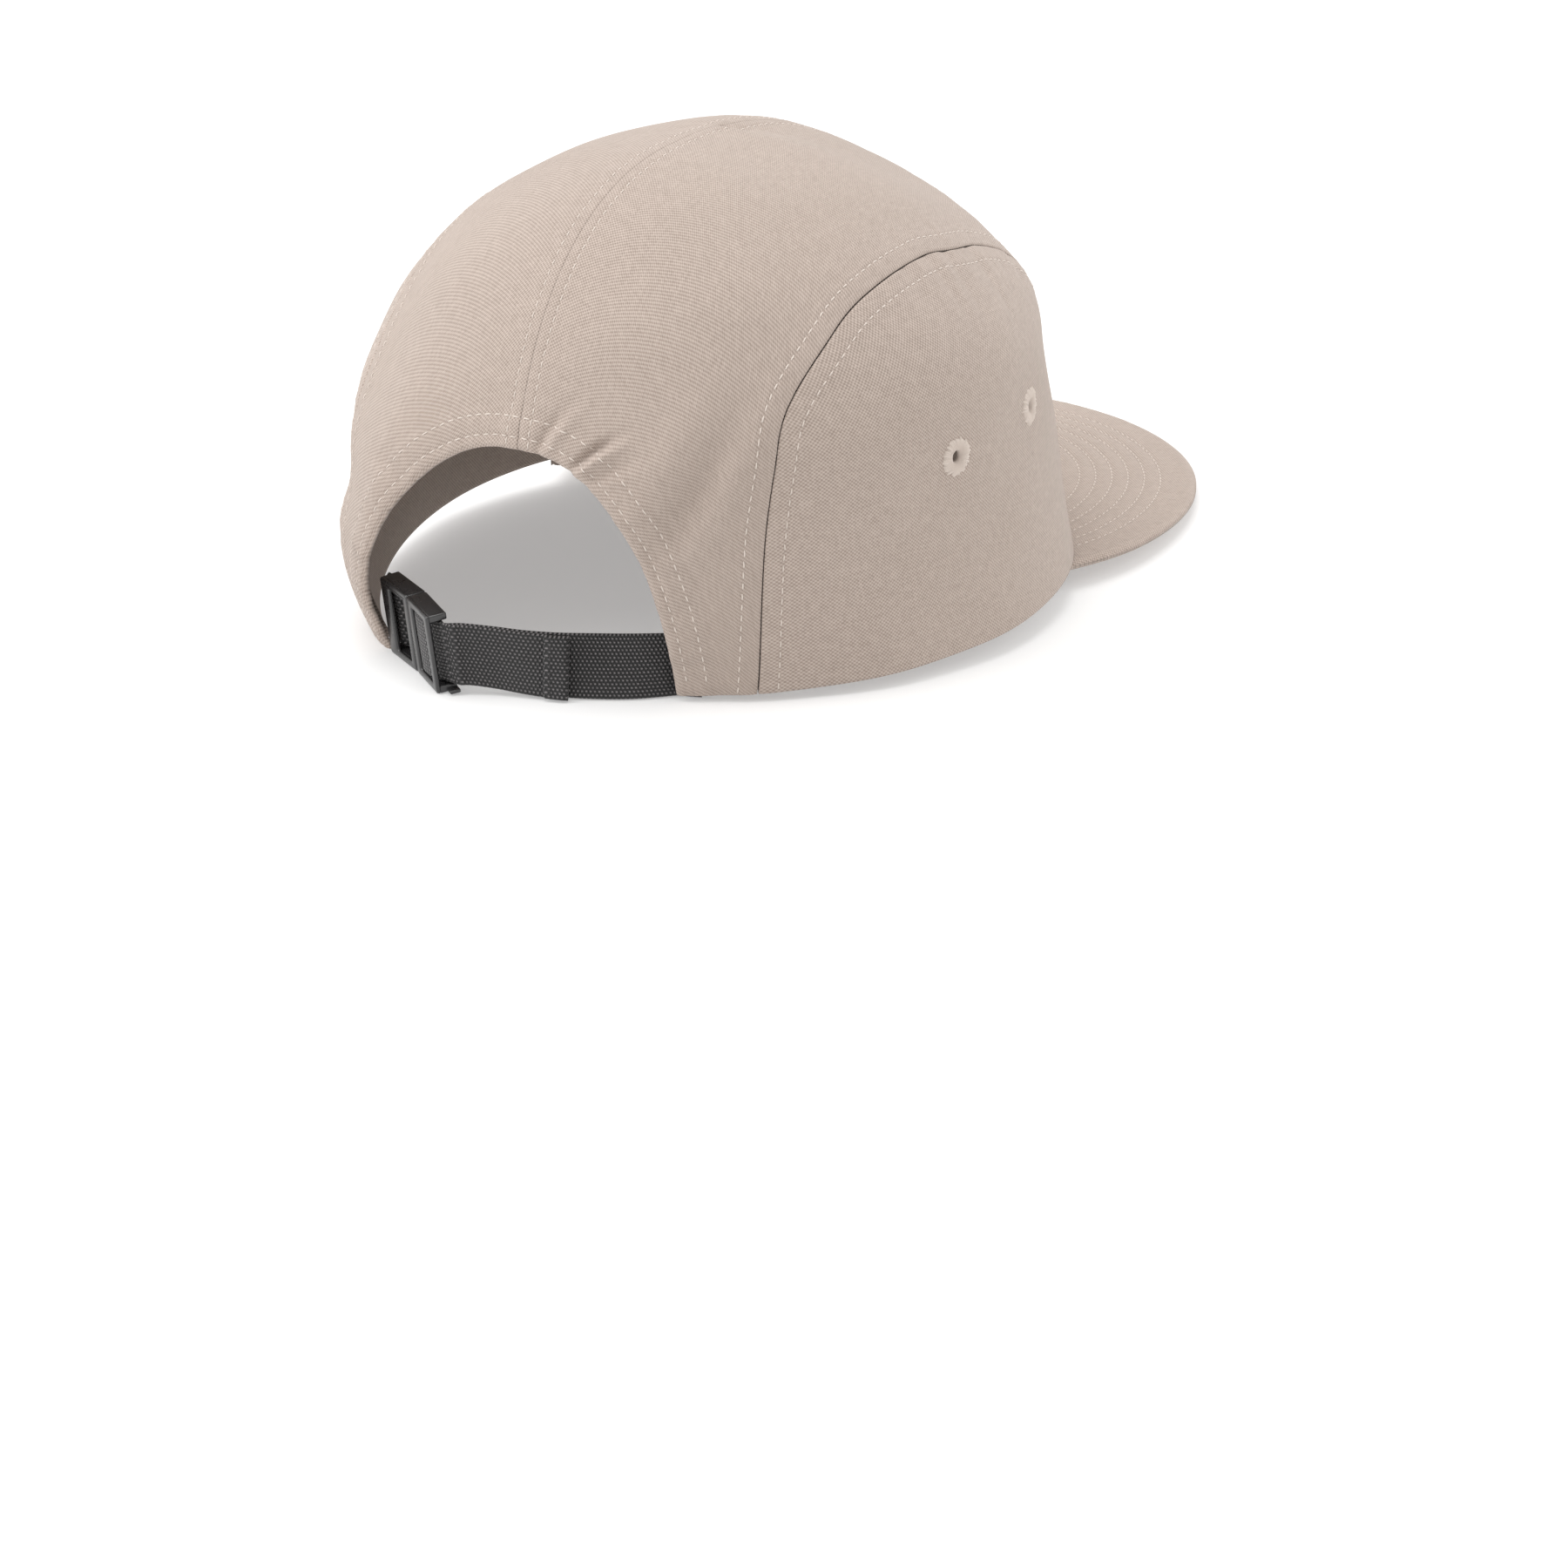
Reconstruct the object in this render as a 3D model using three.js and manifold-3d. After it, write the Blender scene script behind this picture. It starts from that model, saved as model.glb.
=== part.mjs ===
// A five panel cap of plain weave canvas, standing by itself on its peak and its rear edge.
// Millimetres, +Z up, the peak towards -Y. The crown is first worked out round its own rim plane,
// z = 0 there, and every piece is then tipped forward on to the ground by one function, stand.
import * as THREE from "three";
import { mergeVertices } from "three/addons/utils/BufferGeometryUtils.js";
import Module from "manifold-3d";

const wasm = await Module();
wasm.setup();

// Driving dimensions: the head size and the crown's form
const rimHalfWidth = 88;
const rimFront = 93;
const rimBack = 90;
const crownHeight = 116;
const apexBack = 25.7;
const sideHalfWidth = 81.5;
const sideShoulder = 58;
const sideRound = 1.7;
const frontHalfLength = 94;
const frontShoulder = 51;
const frontRound = 2.28;
const backHalfLength = 93.4;
const backShoulder = 27;
const backRound = 1.91;
const frontSquare = 1.9;
const backSquare = 1.98;

// Cloth, seams and stitched edges
const clothWall = 1.6;
const seamGap = 0.35;
const pieceGap = 0.3;
const hemHeight = 8;

// Side panels, each a D in side view
const sidePanelMiddle = 3.3;
const sidePanelFront = 86.2;
const sidePanelBack = 68.7;
const sidePanelHeight = 91;
const sidePanelFrontSquare = 1.92;
const sidePanelBackSquare = 3.5;

// Cross seam between the front panel and the two back panels, as an angle up from the front
const crossSeamAngle = 48;

// Arched opening at the back; slack cloth lets its left half hang wider than its right half
const archLeft = 40.5;
const archRight = 35.5;
const archHeight = 61;
const archSquare = 2.28;

// Sweatband
const bandHeight = 30;
const bandWall = 1.4;
const bandEndSetback = 8;
const bandGap = 0.7;

// Eyelets, two on each side panel, placed by shares of its height and of its two lengths
const eyeletRadius = 5.25;
const eyeletHoleRadius = 1.5;
const eyeletProud = 0.55;
const eyeletHeight = 0.538 * sidePanelHeight;
const eyeletBack = sidePanelMiddle + 0.272 * sidePanelBack;
const eyeletFront = sidePanelMiddle - 0.22 * sidePanelFront;

// Peak
const peakLength = 73;
const peakHalfWidth = 85.7;
const peakWidest = 66;
const peakEnd = 34.8;
const peakHeelLength = 81;
const peakThickness = 3;
const peakTilt = 6;
const peakEase = 8;

// Strap, tab and buckle
const webWidth = 16;
const webThickness = 1.2;
const hemLength = 6;
const strapSeat = 6;
const tailReach = 29;
const tailStart = 3;
const strapLift = 0.3;
const seatSpread = 0.75;
const strapSteps = 26;
const bendSteps = 6;
const strapLeanStart = 0.55;
const strapLeanEnd = 0.9;
const buckleHeight = 20.5;
const buckleDepth = 5.4;
const frameLength = 16.2;
const catchLength = 15.8;
const railHeight = 1.9;
const stileWidth = 6;
const splitStile = 3.2;
const tabBarDepth = 0.6;
const tabBarStart = 2;
const tabBarWidth = 1.8;
const catchStile = 3;
const middleBar = 3;
const middleBarDepth = 1.4;
const endBar = 2.8;
const endBarDepth = 1.8;
const footReach = 2.2;
const barRoot = 0.2;
const buckleLean = 7.5;
const buckleYaw = 143;
const buckleBend = 6.5;
const buckleRight = 16;
const buckleBack = 109;

// The strap's route over the ground from inside the right corner of the arch to the buckle.
// Along is a share of the straight line between the two, out and lift are shares of the bow and
// of the height at the buckle.
const strapBow = 8;
const strapRoute = [
  { along: 0.06, out: -0.26, lift: 0 },
  { along: 0.19, out: 0.02, lift: 0 },
  { along: 0.34, out: 0.14, lift: 0 },
  { along: 0.5, out: 0.14, lift: 0.05 },
  { along: 0.66, out: 0.0, lift: 0.25 },
  { along: 0.81, out: -0.14, lift: 0.6 },
  { along: 0.93, out: -0.1, lift: 0.9 },
];

// How far the cloth is pressed flat where it rests
const restPress = 0.3;

// How far below the rim's plane the ground lies at the rear, where the left corner hangs down to it
const rearSag = 2;

// The left rear of the crown is pushed out by the slack strap: where, how wide and how far
const bulge = { turn: 25.4, leftSpan: 38.4, rightSpan: 12, height: 25, rise: 38 };
const bulgeSide = 5.2;
const bulgeBack = 15.6;
const bulgeSag = 2.6;

// Soft folds: turn is measured from the back towards the wearer's left, in degrees, spans too.
// Height and rise are shares of crownHeight, depth is a share of foldDepth, lean is degrees.
const foldDepth = 2;
const folds = [
  { turn: -22, height: 0.5, span: 5, rise: 0.16, lean: -20, depth: 0.55 },
  { turn: -30, height: 0.44, span: 5, rise: 0.2, lean: -22, depth: -0.75 },
  { turn: -38, height: 0.36, span: 6, rise: 0.24, lean: -14, depth: 0.6 },
  { turn: 42, height: 0.62, span: 14, rise: 0.1, lean: 0, depth: 0.7 },
  { turn: 50, height: 0.46, span: 16, rise: 0.07, lean: 0, depth: -0.9 },
  { turn: 60, height: 0.22, span: 18, rise: 0.12, lean: 8, depth: 0.9 },
  { turn: -150, height: 0.62, span: 12, rise: 0.08, lean: 0, depth: -0.6 },
  { turn: 150, height: 0.6, span: 14, rise: 0.09, lean: 0, depth: -0.5 },
  { turn: 180, height: 0.38, span: 22, rise: 0.12, lean: 0, depth: 0.5 },
];

const radians = THREE.MathUtils.degToRad;
const canvas = { color: 0xb3a294, roughness: 0.95, metalness: 0 };
const lighter = { color: 0xc4b5a6, roughness: 0.9, metalness: 0 };
const webbing = { color: 0x2b2a2c, roughness: 0.85, metalness: 0 };
const plastic = { color: 0x17171a, roughness: 0.45, metalness: 0 };

// A profile that runs from the rim value to a middle value at the shoulder and closes over the top.
function profile(z, rim, middle, shoulder, round) {
  if (z > shoulder) {
    const t = Math.min((z - shoulder) / (crownHeight - shoulder), 1);
    return middle * (1 - t ** round) ** (1 / round);
  }
  return middle + (rim - middle) * (1 - z / shoulder) ** 2;
}

const sectionShift = (z) => apexBack * Math.min(Math.max(z / crownHeight, 0), 1) ** 2;

// Half the crown's width at a place in side view, from its oval section at that height.
function halfWidth(y, z) {
  const along = y - sectionShift(z);
  const front = along < 0;
  const length = front
    ? profile(z, rimFront, frontHalfLength, frontShoulder, frontRound)
    : profile(z, rimBack, backHalfLength, backShoulder, backRound);
  const square = front ? frontSquare : backSquare;
  const share = Math.min(Math.abs(along) / Math.max(length, 1e-6), 1);
  const width = profile(z, rimHalfWidth, sideHalfWidth, sideShoulder, sideRound);
  return width * (1 - share ** square) ** (1 / square);
}

const inside = (p) => Math.abs(p.x) < halfWidth(p.y, p.z) && p.z < crownHeight;

// The crown's surface along a ray, found by halving.
const halvings = 44;
function alongRay(start, direction) {
  let near = 0;
  let far = 2 * crownHeight;
  for (let i = 0; i < halvings; i++) {
    const middle = (near + far) / 2;
    if (inside(start.clone().addScaledVector(direction, middle))) near = middle;
    else far = middle;
  }
  return start.clone().addScaledVector(direction, near);
}

const crownCore = new THREE.Vector3(0, sidePanelMiddle, crownHeight / 3);

// The outward direction at a place on the crown, from four neighbours on the surface.
function outward(p) {
  const direction = p.clone().sub(crownCore).normalize();
  const a = new THREE.Vector3(-direction.y, direction.x, 0);
  if (a.lengthSq() < 1e-6) a.set(1, 0, 0);
  a.normalize();
  const b = new THREE.Vector3().crossVectors(direction, a);
  const step = 0.02;
  const at = (axis, sign) =>
    alongRay(crownCore, direction.clone().addScaledVector(axis, sign * step).normalize());
  const along = at(a, 1).sub(at(a, -1));
  const across = at(b, 1).sub(at(b, -1));
  return along.cross(across).normalize();
}

// How far the cloth stands out at a place, all folds together.
function foldAt(p) {
  const turn = THREE.MathUtils.radToDeg(Math.atan2(p.x, p.y));
  let out = 0;
  for (const f of folds) {
    const up = p.z / crownHeight - f.height;
    const around = ((turn - f.turn + 540) % 360) - 180;
    const lean = Math.tan(radians(f.lean)) * up * 90;
    out += f.depth * foldDepth * Math.exp(-(((around - lean) / f.span) ** 2) - (up / f.rise) ** 2);
  }
  return out;
}

// The rim dips at the front, where it follows the flat peak.
const peakSlope = Math.tan(radians(peakTilt));
const dipAt = (y) => (peakSlope * (Math.hypot(y + peakEnd, peakEase) - y - peakEnd)) / 2;

// The cap leans back on its rear edge and the tip of its peak.
const tipDrop = dipAt(-rimFront - peakLength) + pieceGap + peakThickness;
const cornerBack = (arch) =>
  rimBack * (1 - (arch / rimHalfWidth) ** backSquare) ** (1 / backSquare);
const rearCorner = cornerBack(archLeft);
const restPitch = Math.atan2(tipDrop - rearSag, rimFront + peakLength + rearCorner);

// Takes a place on the plain crown to its place on the ground: the bulge, the dip and the lean.
function stand(p) {
  const q = p.clone();
  const turn = THREE.MathUtils.radToDeg(Math.atan2(p.x, p.y));
  const side = turn - bulge.turn;
  const span = side > 0 ? bulge.leftSpan : bulge.rightSpan;
  const share = Math.exp(-((side / span) ** 2) - ((p.z - bulge.height) / bulge.rise) ** 2);
  const low = Math.min(Math.max(1 - p.z / sideShoulder, 0), 1);
  q.x += bulgeSide * share;
  q.y += bulgeBack * share;
  q.z -= bulgeSag * share * low + dipAt(p.y) * low ** 2;
  return tip(q);
}

// Tips a place in the rim's frame on to the ground, flattened where it would go through.
function tip(q) {
  const y = q.y * Math.cos(restPitch) + q.z * Math.sin(restPitch);
  const z =
    (q.z + rearSag) * Math.cos(restPitch) + (rearCorner - q.y) * Math.sin(restPitch) - restPress;
  return new THREE.Vector3(q.x, y, Math.max(z, 0));
}

// Joins loose corners to one closed surface without slivers.
function closed(positions, index) {
  const geometry = new THREE.BufferGeometry();
  geometry.setAttribute("position", new THREE.Float32BufferAttribute(positions, 3));
  geometry.setIndex(index);
  const merged = mergeVertices(geometry, 1e-3);
  const kept = [];
  const order = merged.index.array;
  for (let i = 0; i < order.length; i += 3) {
    const [a, b, c] = [order[i], order[i + 1], order[i + 2]];
    if (a !== b && b !== c && a !== c) kept.push(a, b, c);
  }
  merged.setIndex(kept);
  return facingOut(merged);
}

// Six times the signed volume of a closed geometry, which is negative when its faces point in.
function signedVolume(geometry) {
  const order = geometry.index.array;
  const place = geometry.attributes.position;
  const corner = (i) => new THREE.Vector3().fromBufferAttribute(place, order[i]);
  let sum = 0;
  for (let i = 0; i < order.length; i += 3)
    sum += corner(i).dot(corner(i + 1).cross(corner(i + 2)));
  return sum;
}

// Turns every triangle round where a closed geometry faces in.
function facingOut(geometry) {
  if (signedVolume(geometry) > 0) return geometry;
  const order = Array.from(geometry.index.array);
  for (let i = 0; i < order.length; i += 3)
    [order[i + 1], order[i + 2]] = [order[i + 2], order[i + 1]];
  geometry.setIndex(order);
  return geometry;
}

// A wall over a grid: face(u, v) gives its outer and inner corner, and the four edges are closed.
function wall(columns, rows, face) {
  const positions = [];
  const index = [];
  const layer = (columns + 1) * (rows + 1);
  const grid = [];
  for (let j = 0; j <= rows; j++)
    for (let i = 0; i <= columns; i++) grid.push(face(i / columns, j / rows));
  for (const side of ["outer", "inner"])
    for (const corner of grid) positions.push(...corner[side].toArray());
  const at = (i, j) => j * (columns + 1) + i;
  const quad = (a, b, c, d) => index.push(a, b, c, a, c, d);
  for (let j = 0; j < rows; j++)
    for (let i = 0; i < columns; i++) {
      const [a, b, c, d] = [at(i, j), at(i + 1, j), at(i + 1, j + 1), at(i, j + 1)];
      quad(a, b, c, d);
      quad(layer + d, layer + c, layer + b, layer + a);
    }
  for (let i = 0; i < columns; i++) {
    quad(at(i + 1, 0), at(i, 0), layer + at(i, 0), layer + at(i + 1, 0));
    quad(at(i, rows), at(i + 1, rows), layer + at(i + 1, rows), layer + at(i, rows));
  }
  for (let j = 0; j < rows; j++) {
    quad(at(0, j), at(0, j + 1), layer + at(0, j + 1), layer + at(0, j));
    quad(at(columns, j + 1), at(columns, j), layer + at(columns, j), layer + at(columns, j + 1));
  }
  return closed(positions, index);
}

function toSolid(geometry) {
  const bare = geometry.index ? geometry.toNonIndexed() : geometry.clone();
  for (const name of Object.keys(bare.attributes))
    if (name !== "position") bare.deleteAttribute(name);
  const merged = mergeVertices(bare, 1e-4);
  return new wasm.Manifold(
    new wasm.Mesh({
      numProp: 3,
      vertProperties: new Float32Array(merged.attributes.position.array),
      triVerts: new Uint32Array(merged.index.array),
    }),
  );
}

function toGeometry(solid) {
  const mesh = solid.getMesh();
  const corners = [];
  for (let i = 0; i < mesh.numVert; i++)
    corners.push(...mesh.vertProperties.subarray(i * mesh.numProp, i * mesh.numProp + 3));
  const geometry = new THREE.BufferGeometry();
  geometry.setAttribute("position", new THREE.Float32BufferAttribute(corners, 3));
  geometry.setIndex(Array.from(mesh.triVerts));
  return geometry;
}

// Moves every corner of a geometry by one function.
function moved(geometry, move) {
  const place = geometry.attributes.position;
  for (let i = 0; i < place.count; i++) {
    const p = move(new THREE.Vector3().fromBufferAttribute(place, i));
    place.setXYZ(i, p.x, p.y, p.z);
  }
  return geometry;
}

// The outer and inner corner of the crown's cloth at a place on its surface, level at the rim.
function clothAt(p) {
  const normal = outward(p);
  normal.z *= Math.min(p.z / hemHeight, 1);
  normal.normalize();
  const outer = p.clone().addScaledVector(normal, foldAt(p));
  return { outer, inner: outer.clone().addScaledVector(normal, -clothWall) };
}

// The side seam in side view, as a distance from its middle on the rim, by angle up from the front.
function seamReach(angle) {
  const forward = Math.cos(angle) > 0;
  const length = forward ? sidePanelFront : sidePanelBack;
  const square = forward ? sidePanelFrontSquare : sidePanelBackSquare;
  const sum =
    (Math.abs(Math.cos(angle)) / length) ** square + (Math.sin(angle) / sidePanelHeight) ** square;
  return sum ** (-1 / square);
}

const fanPlace = (reach, angle) => [
  sidePanelMiddle - reach * Math.cos(angle),
  reach * Math.max(Math.sin(angle), 0),
];
const seamHalfWidth = (angle) => halfWidth(...fanPlace(seamReach(angle), angle));

// A place on the crown between the two side seams: across is -1 to 1, angle is up from the front.
function topPlace(across, angle) {
  const x = across * seamHalfWidth(angle);
  const start = new THREE.Vector3(x, sidePanelMiddle, 0);
  const rise = Math.max(Math.sin(angle), 0);
  return alongRay(start, new THREE.Vector3(0, -Math.cos(angle), rise));
}

// A side panel: a fan of cloth from the middle of its lower edge out to the arched seam.
function sidePanel(side) {
  const panel = wall(30, 9, (u, v) => {
    const angle = Math.PI * u;
    const reach = v * (seamReach(angle) - seamGap);
    const [y, z] = fanPlace(reach, angle);
    return clothAt(new THREE.Vector3(side * halfWidth(y, z), y, z));
  });
  let solid = toSolid(panel);
  for (const y of [eyeletFront, eyeletBack]) {
    const hole = new THREE.CylinderGeometry(
      eyeletRadius + pieceGap, eyeletRadius + pieceGap, 6 * clothWall, 20);
    solid = solid.subtract(toSolid(moved(hole, eyeletPose(side, y))));
  }
  return moved(toGeometry(solid), stand);
}

// Lays a shape that was made round the Y axis on the side panel, its axis along the cloth's normal.
function eyeletPose(side, y) {
  const cloth = clothAt(new THREE.Vector3(side * halfWidth(y, eyeletHeight), y, eyeletHeight));
  const middle = cloth.outer.clone().add(cloth.inner).multiplyScalar(0.5);
  const normal = cloth.outer.clone().sub(cloth.inner).normalize();
  const turn = new THREE.Quaternion().setFromUnitVectors(new THREE.Vector3(0, 1, 0), normal);
  return (p) => p.applyQuaternion(turn).add(middle);
}

// An eyelet: a ring of thread that stands a little proud of the cloth on both faces.
function eyelet(side, y) {
  const half = clothWall / 2;
  const middle = (eyeletRadius + eyeletHoleRadius) / 2;
  const ring = new THREE.LatheGeometry(
    [
      [eyeletHoleRadius, -half],
      [middle, -half - eyeletProud],
      [eyeletRadius, -half],
      [eyeletRadius, half],
      [middle, half + eyeletProud],
      [eyeletHoleRadius, half],
      [eyeletHoleRadius, -half],
    ].map(([r, h]) => new THREE.Vector2(r, h)),
    20,
  );
  return moved(moved(toGeometry(toSolid(ring)), eyeletPose(side, y)), stand);
}

// The front panel: from the front rim up to the cross seam, between the two side seams.
function frontPanel() {
  const last = radians(crossSeamAngle) - seamGap / crownHeight;
  const panel = wall(18, 11, (u, v) => clothAt(topPlace(2 * u - 1, v * last)));
  return moved(panel, stand);
}

// The lower edge of a back panel: first the rim, then the arched edge up to the centre seam.
function backEdge(u, arch) {
  const rimShare = 0.16;
  const rimOuter = seamHalfWidth(Math.PI);
  if (u <= rimShare) {
    const x = THREE.MathUtils.lerp(rimOuter, arch, u / rimShare);
    return { across: x / rimOuter, angle: Math.PI };
  }
  const turn = ((u - rimShare) / (1 - rimShare)) * (Math.PI / 2);
  const x = Math.max(arch * Math.cos(turn) ** (2 / archSquare), seamGap / 2);
  const z = archHeight * Math.sin(turn) ** (2 / archSquare);
  const start = new THREE.Vector3(x, sidePanelMiddle, z);
  const p = alongRay(start, new THREE.Vector3(0, 1, 0));
  const angle = Math.PI - Math.atan2(p.z, p.y - sidePanelMiddle);
  return { across: x / seamHalfWidth(angle), angle };
}

// A back panel: from the cross seam over the crown to its lower edge, on one side of the centre.
function backPanel(side) {
  const first = radians(crossSeamAngle);
  const arch = side < 0 ? archRight : archLeft;
  const panel = wall(16, 15, (u, v) => {
    const edge = backEdge(u, arch);
    const angle = THREE.MathUtils.lerp(first, edge.angle, v);
    const least = seamGap / 2 / seamHalfWidth(angle);
    const across = Math.max(THREE.MathUtils.lerp(1 - u, edge.across, v), least);
    return clothAt(topPlace(side * across, angle));
  });
  return moved(panel, stand);
}

// The rim's plan outline by a turn from the front, -90 to 90 degrees there, set in by a distance.
function rimPlace(turn, inset, z = 0) {
  const direction = new THREE.Vector3(Math.sin(turn), -Math.cos(turn), 0);
  const p = alongRay(new THREE.Vector3(0, 0, z), direction);
  const normal = outward(p);
  normal.z = 0;
  return p.addScaledVector(normal.normalize(), foldAt(p) - inset);
}

// The turn from the front to a place on the rim a length short of an arch corner.
function turnBehind(arch, length) {
  const back = cornerBack(arch);
  return Math.PI - Math.atan2(arch, back) - length / Math.hypot(arch, back);
}

// The sweatband: a strip inside the rim, open at the back where the strap spans the arch.
function sweatband() {
  const right = -turnBehind(archRight, bandEndSetback);
  const left = turnBehind(archLeft, bandEndSetback);
  const inset = clothWall + bandGap;
  const band = wall(44, 3, (u, v) => {
    const turn = THREE.MathUtils.lerp(right, left, u);
    const z = v * bandHeight;
    return { outer: rimPlace(turn, inset, z), inner: rimPlace(turn, inset + bandWall, z) };
  });
  return moved(band, stand);
}

// The peak's outer edge by a share from -1 to 1: an oval front and two heels that meet the rim.
const heelTurn = Math.PI / 2 + Math.asin((peakWidest - peakEnd) / peakHeelLength);
function peakEdge(share) {
  const turn = share * heelTurn;
  const forward = Math.cos(turn);
  const reach = forward > 0 ? rimFront + peakLength - peakWidest : peakHeelLength;
  return new THREE.Vector3(peakHalfWidth * Math.sin(turn), -peakWidest - reach * forward, 0);
}

// The peak: a flat stiffened sheet whose inner edge lies under the front of the crown.
function peak() {
  const rimTurn = Math.acos(peakEnd / Math.hypot(peakEnd, halfWidth(-peakEnd, 0)));
  return wall(36, 8, (u, v) => {
    const share = 2 * u - 1;
    const inner = rimPlace(share * rimTurn, clothWall);
    const flat = inner.lerp(peakEdge(share), v);
    const top = flat.clone().setZ(-dipAt(flat.y) - pieceGap);
    const bottom = flat.clone().setZ(-dipAt(flat.y) - pieceGap - peakThickness);
    return { outer: tip(top), inner: tip(bottom) };
  });
}

// The axes of a buckle half: along from the split to the half's right end, out to the rear, up.
function buckleAxes(half) {
  const yaw = radians(buckleYaw + (half === "frame" ? buckleBend : 0));
  const along = new THREE.Vector3(Math.cos(yaw), Math.sin(yaw), 0);
  const up = new THREE.Vector3(0, 0, 1).applyAxisAngle(along, radians(buckleLean));
  return { along, up, out: new THREE.Vector3().crossVectors(along, up) };
}

const split = new THREE.Vector3(buckleRight, buckleBack, 0)
  .addScaledVector(buckleAxes("catch").along, -catchLength);

// Takes a place in a buckle half's own axes, measured from the foot of the split, to the ground.
function buckleMove(half) {
  const axes = buckleAxes(half);
  return (p) =>
    split.clone()
      .addScaledVector(axes.along, p.x)
      .addScaledVector(axes.out, p.y)
      .addScaledVector(axes.up, p.z);
}

// A block between two corners in the buckle's axes.
function block(low, high) {
  const size = high.map((value, i) => value - low[i]);
  const box = new THREE.BoxGeometry(...size);
  box.translate(...low.map((value, i) => value + size[i] / 2));
  return toSolid(box);
}

const windowLow = railHeight;
const windowHigh = buckleHeight - railHeight;
const barLow = windowLow - barRoot;
const barHigh = windowHigh + barRoot;

// How deep each layer of webbing lies behind the buckle's front plate, to its middle.
const layer = webThickness + pieceGap;
const tabFront = -endBarDepth - pieceGap - webThickness / 2;
const strapFront = -pieceGap - webThickness / 2;
const strapBehindEnd = -endBarDepth - pieceGap - webThickness / 2;
const middleBarDeep = strapFront - webThickness / 2 - pieceGap - middleBarDepth / 2;
const strapRear = middleBarDeep - middleBarDepth / 2 - pieceGap - webThickness / 2;
const middleBarStart = catchStile + webThickness + 2 * pieceGap;

// The frame half: a plate with an open window, and a bar at its far end that the tab goes round.
function frameHalf() {
  const start = -frameLength;
  const behind = -2 * buckleDepth;
  const window = block([start + stileWidth, behind, windowLow], [-splitStile, 1, windowHigh]);
  const slot = block([start - 1, behind, windowLow], [start + stileWidth, -endBarDepth, windowHigh]);
  const barStart = start + tabBarStart;
  const barFront = tabFront - webThickness / 2 - pieceGap;
  const bar = block(
    [barStart, barFront - tabBarDepth, barLow], [barStart + tabBarWidth, barFront, barHigh]);
  const plate = block([start, -buckleDepth, 0], [-pieceGap, 0, buckleHeight]);
  return standing(plate.subtract(window).subtract(slot).add(bar), "frame");
}

// The catch half: rails, a stile, the middle bar that the strap goes round and the end bar.
function catchHalf() {
  const plate = block([0, -buckleDepth, 0], [catchLength, 0, buckleHeight]);
  const window = block(
    [catchStile, -2 * buckleDepth, windowLow], [catchLength + 1, 1, windowHigh]);
  const bar = block(
    [middleBarStart, middleBarDeep - middleBarDepth / 2, barLow],
    [middleBarStart + middleBar, middleBarDeep + middleBarDepth / 2, barHigh]);
  const end = block([catchLength - endBar, -endBarDepth, barLow], [catchLength, 0, barHigh]);
  const foot = block(
    [catchLength - barRoot, -buckleDepth, 0],
    [catchLength + footReach, -buckleDepth / 2, railHeight / 2]);
  return standing(plate.subtract(window).add(bar).add(end).add(foot), "catch");
}

// Stands a buckle half on the ground.
const standing = (solid, half) => moved(toGeometry(solid), buckleMove(half));

// A ribbon on edge: stations hold a place, the upward direction and the thickness there.
function ribbon(stations) {
  const positions = [];
  const index = [];
  stations.forEach((s, i) => {
    const before = stations[Math.max(i - 1, 0)].place;
    const after = stations[Math.min(i + 1, stations.length - 1)].place;
    const along = after.clone().sub(before).setZ(0).normalize();
    const side = new THREE.Vector3(-along.y, along.x, 0);
    for (const [across, height] of [[0.5, 0], [-0.5, 0], [-0.5, 1], [0.5, 1]]) {
      const p = s.place.clone().addScaledVector(side, across * s.thickness);
      positions.push(...p.addScaledVector(s.up, height * webWidth).toArray());
    }
  });
  const quad = (a, b, c, d) => index.push(a, b, c, a, c, d);
  for (let i = 0; i + 1 < stations.length; i++)
    for (let k = 0; k < 4; k++) {
      const next = (k + 1) % 4;
      quad(4 * i + k, 4 * i + next, 4 * i + 4 + next, 4 * i + 4 + k);
    }
  quad(3, 2, 1, 0);
  const end = 4 * (stations.length - 1);
  quad(end, end + 1, end + 2, end + 3);
  return closed(positions, index);
}

const upright = new THREE.Vector3(0, 0, 1);

// A station of webbing inside a buckle half, at a place along it and a depth behind its front.
const held = (half, x, y) => ({
  place: buckleMove(half)(new THREE.Vector3(x, y, windowLow + pieceGap)),
  up: buckleAxes(half).up,
  thickness: webThickness,
});

// The stations of webbing sewn inside a back panel, from strapSeat behind an arch corner up to it.
function seated(side, arch, height) {
  return [strapSeat, strapSeat / 2, 0].map((length) => {
    const away = seatSpread * (1 - length / strapSeat);
    const inset = clothWall + pieceGap + webThickness / 2 + away;
    const place = stand(rimPlace(side * turnBehind(arch, length), inset)).setZ(height);
    return { place, up: upright, thickness: webThickness };
  });
}

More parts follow.
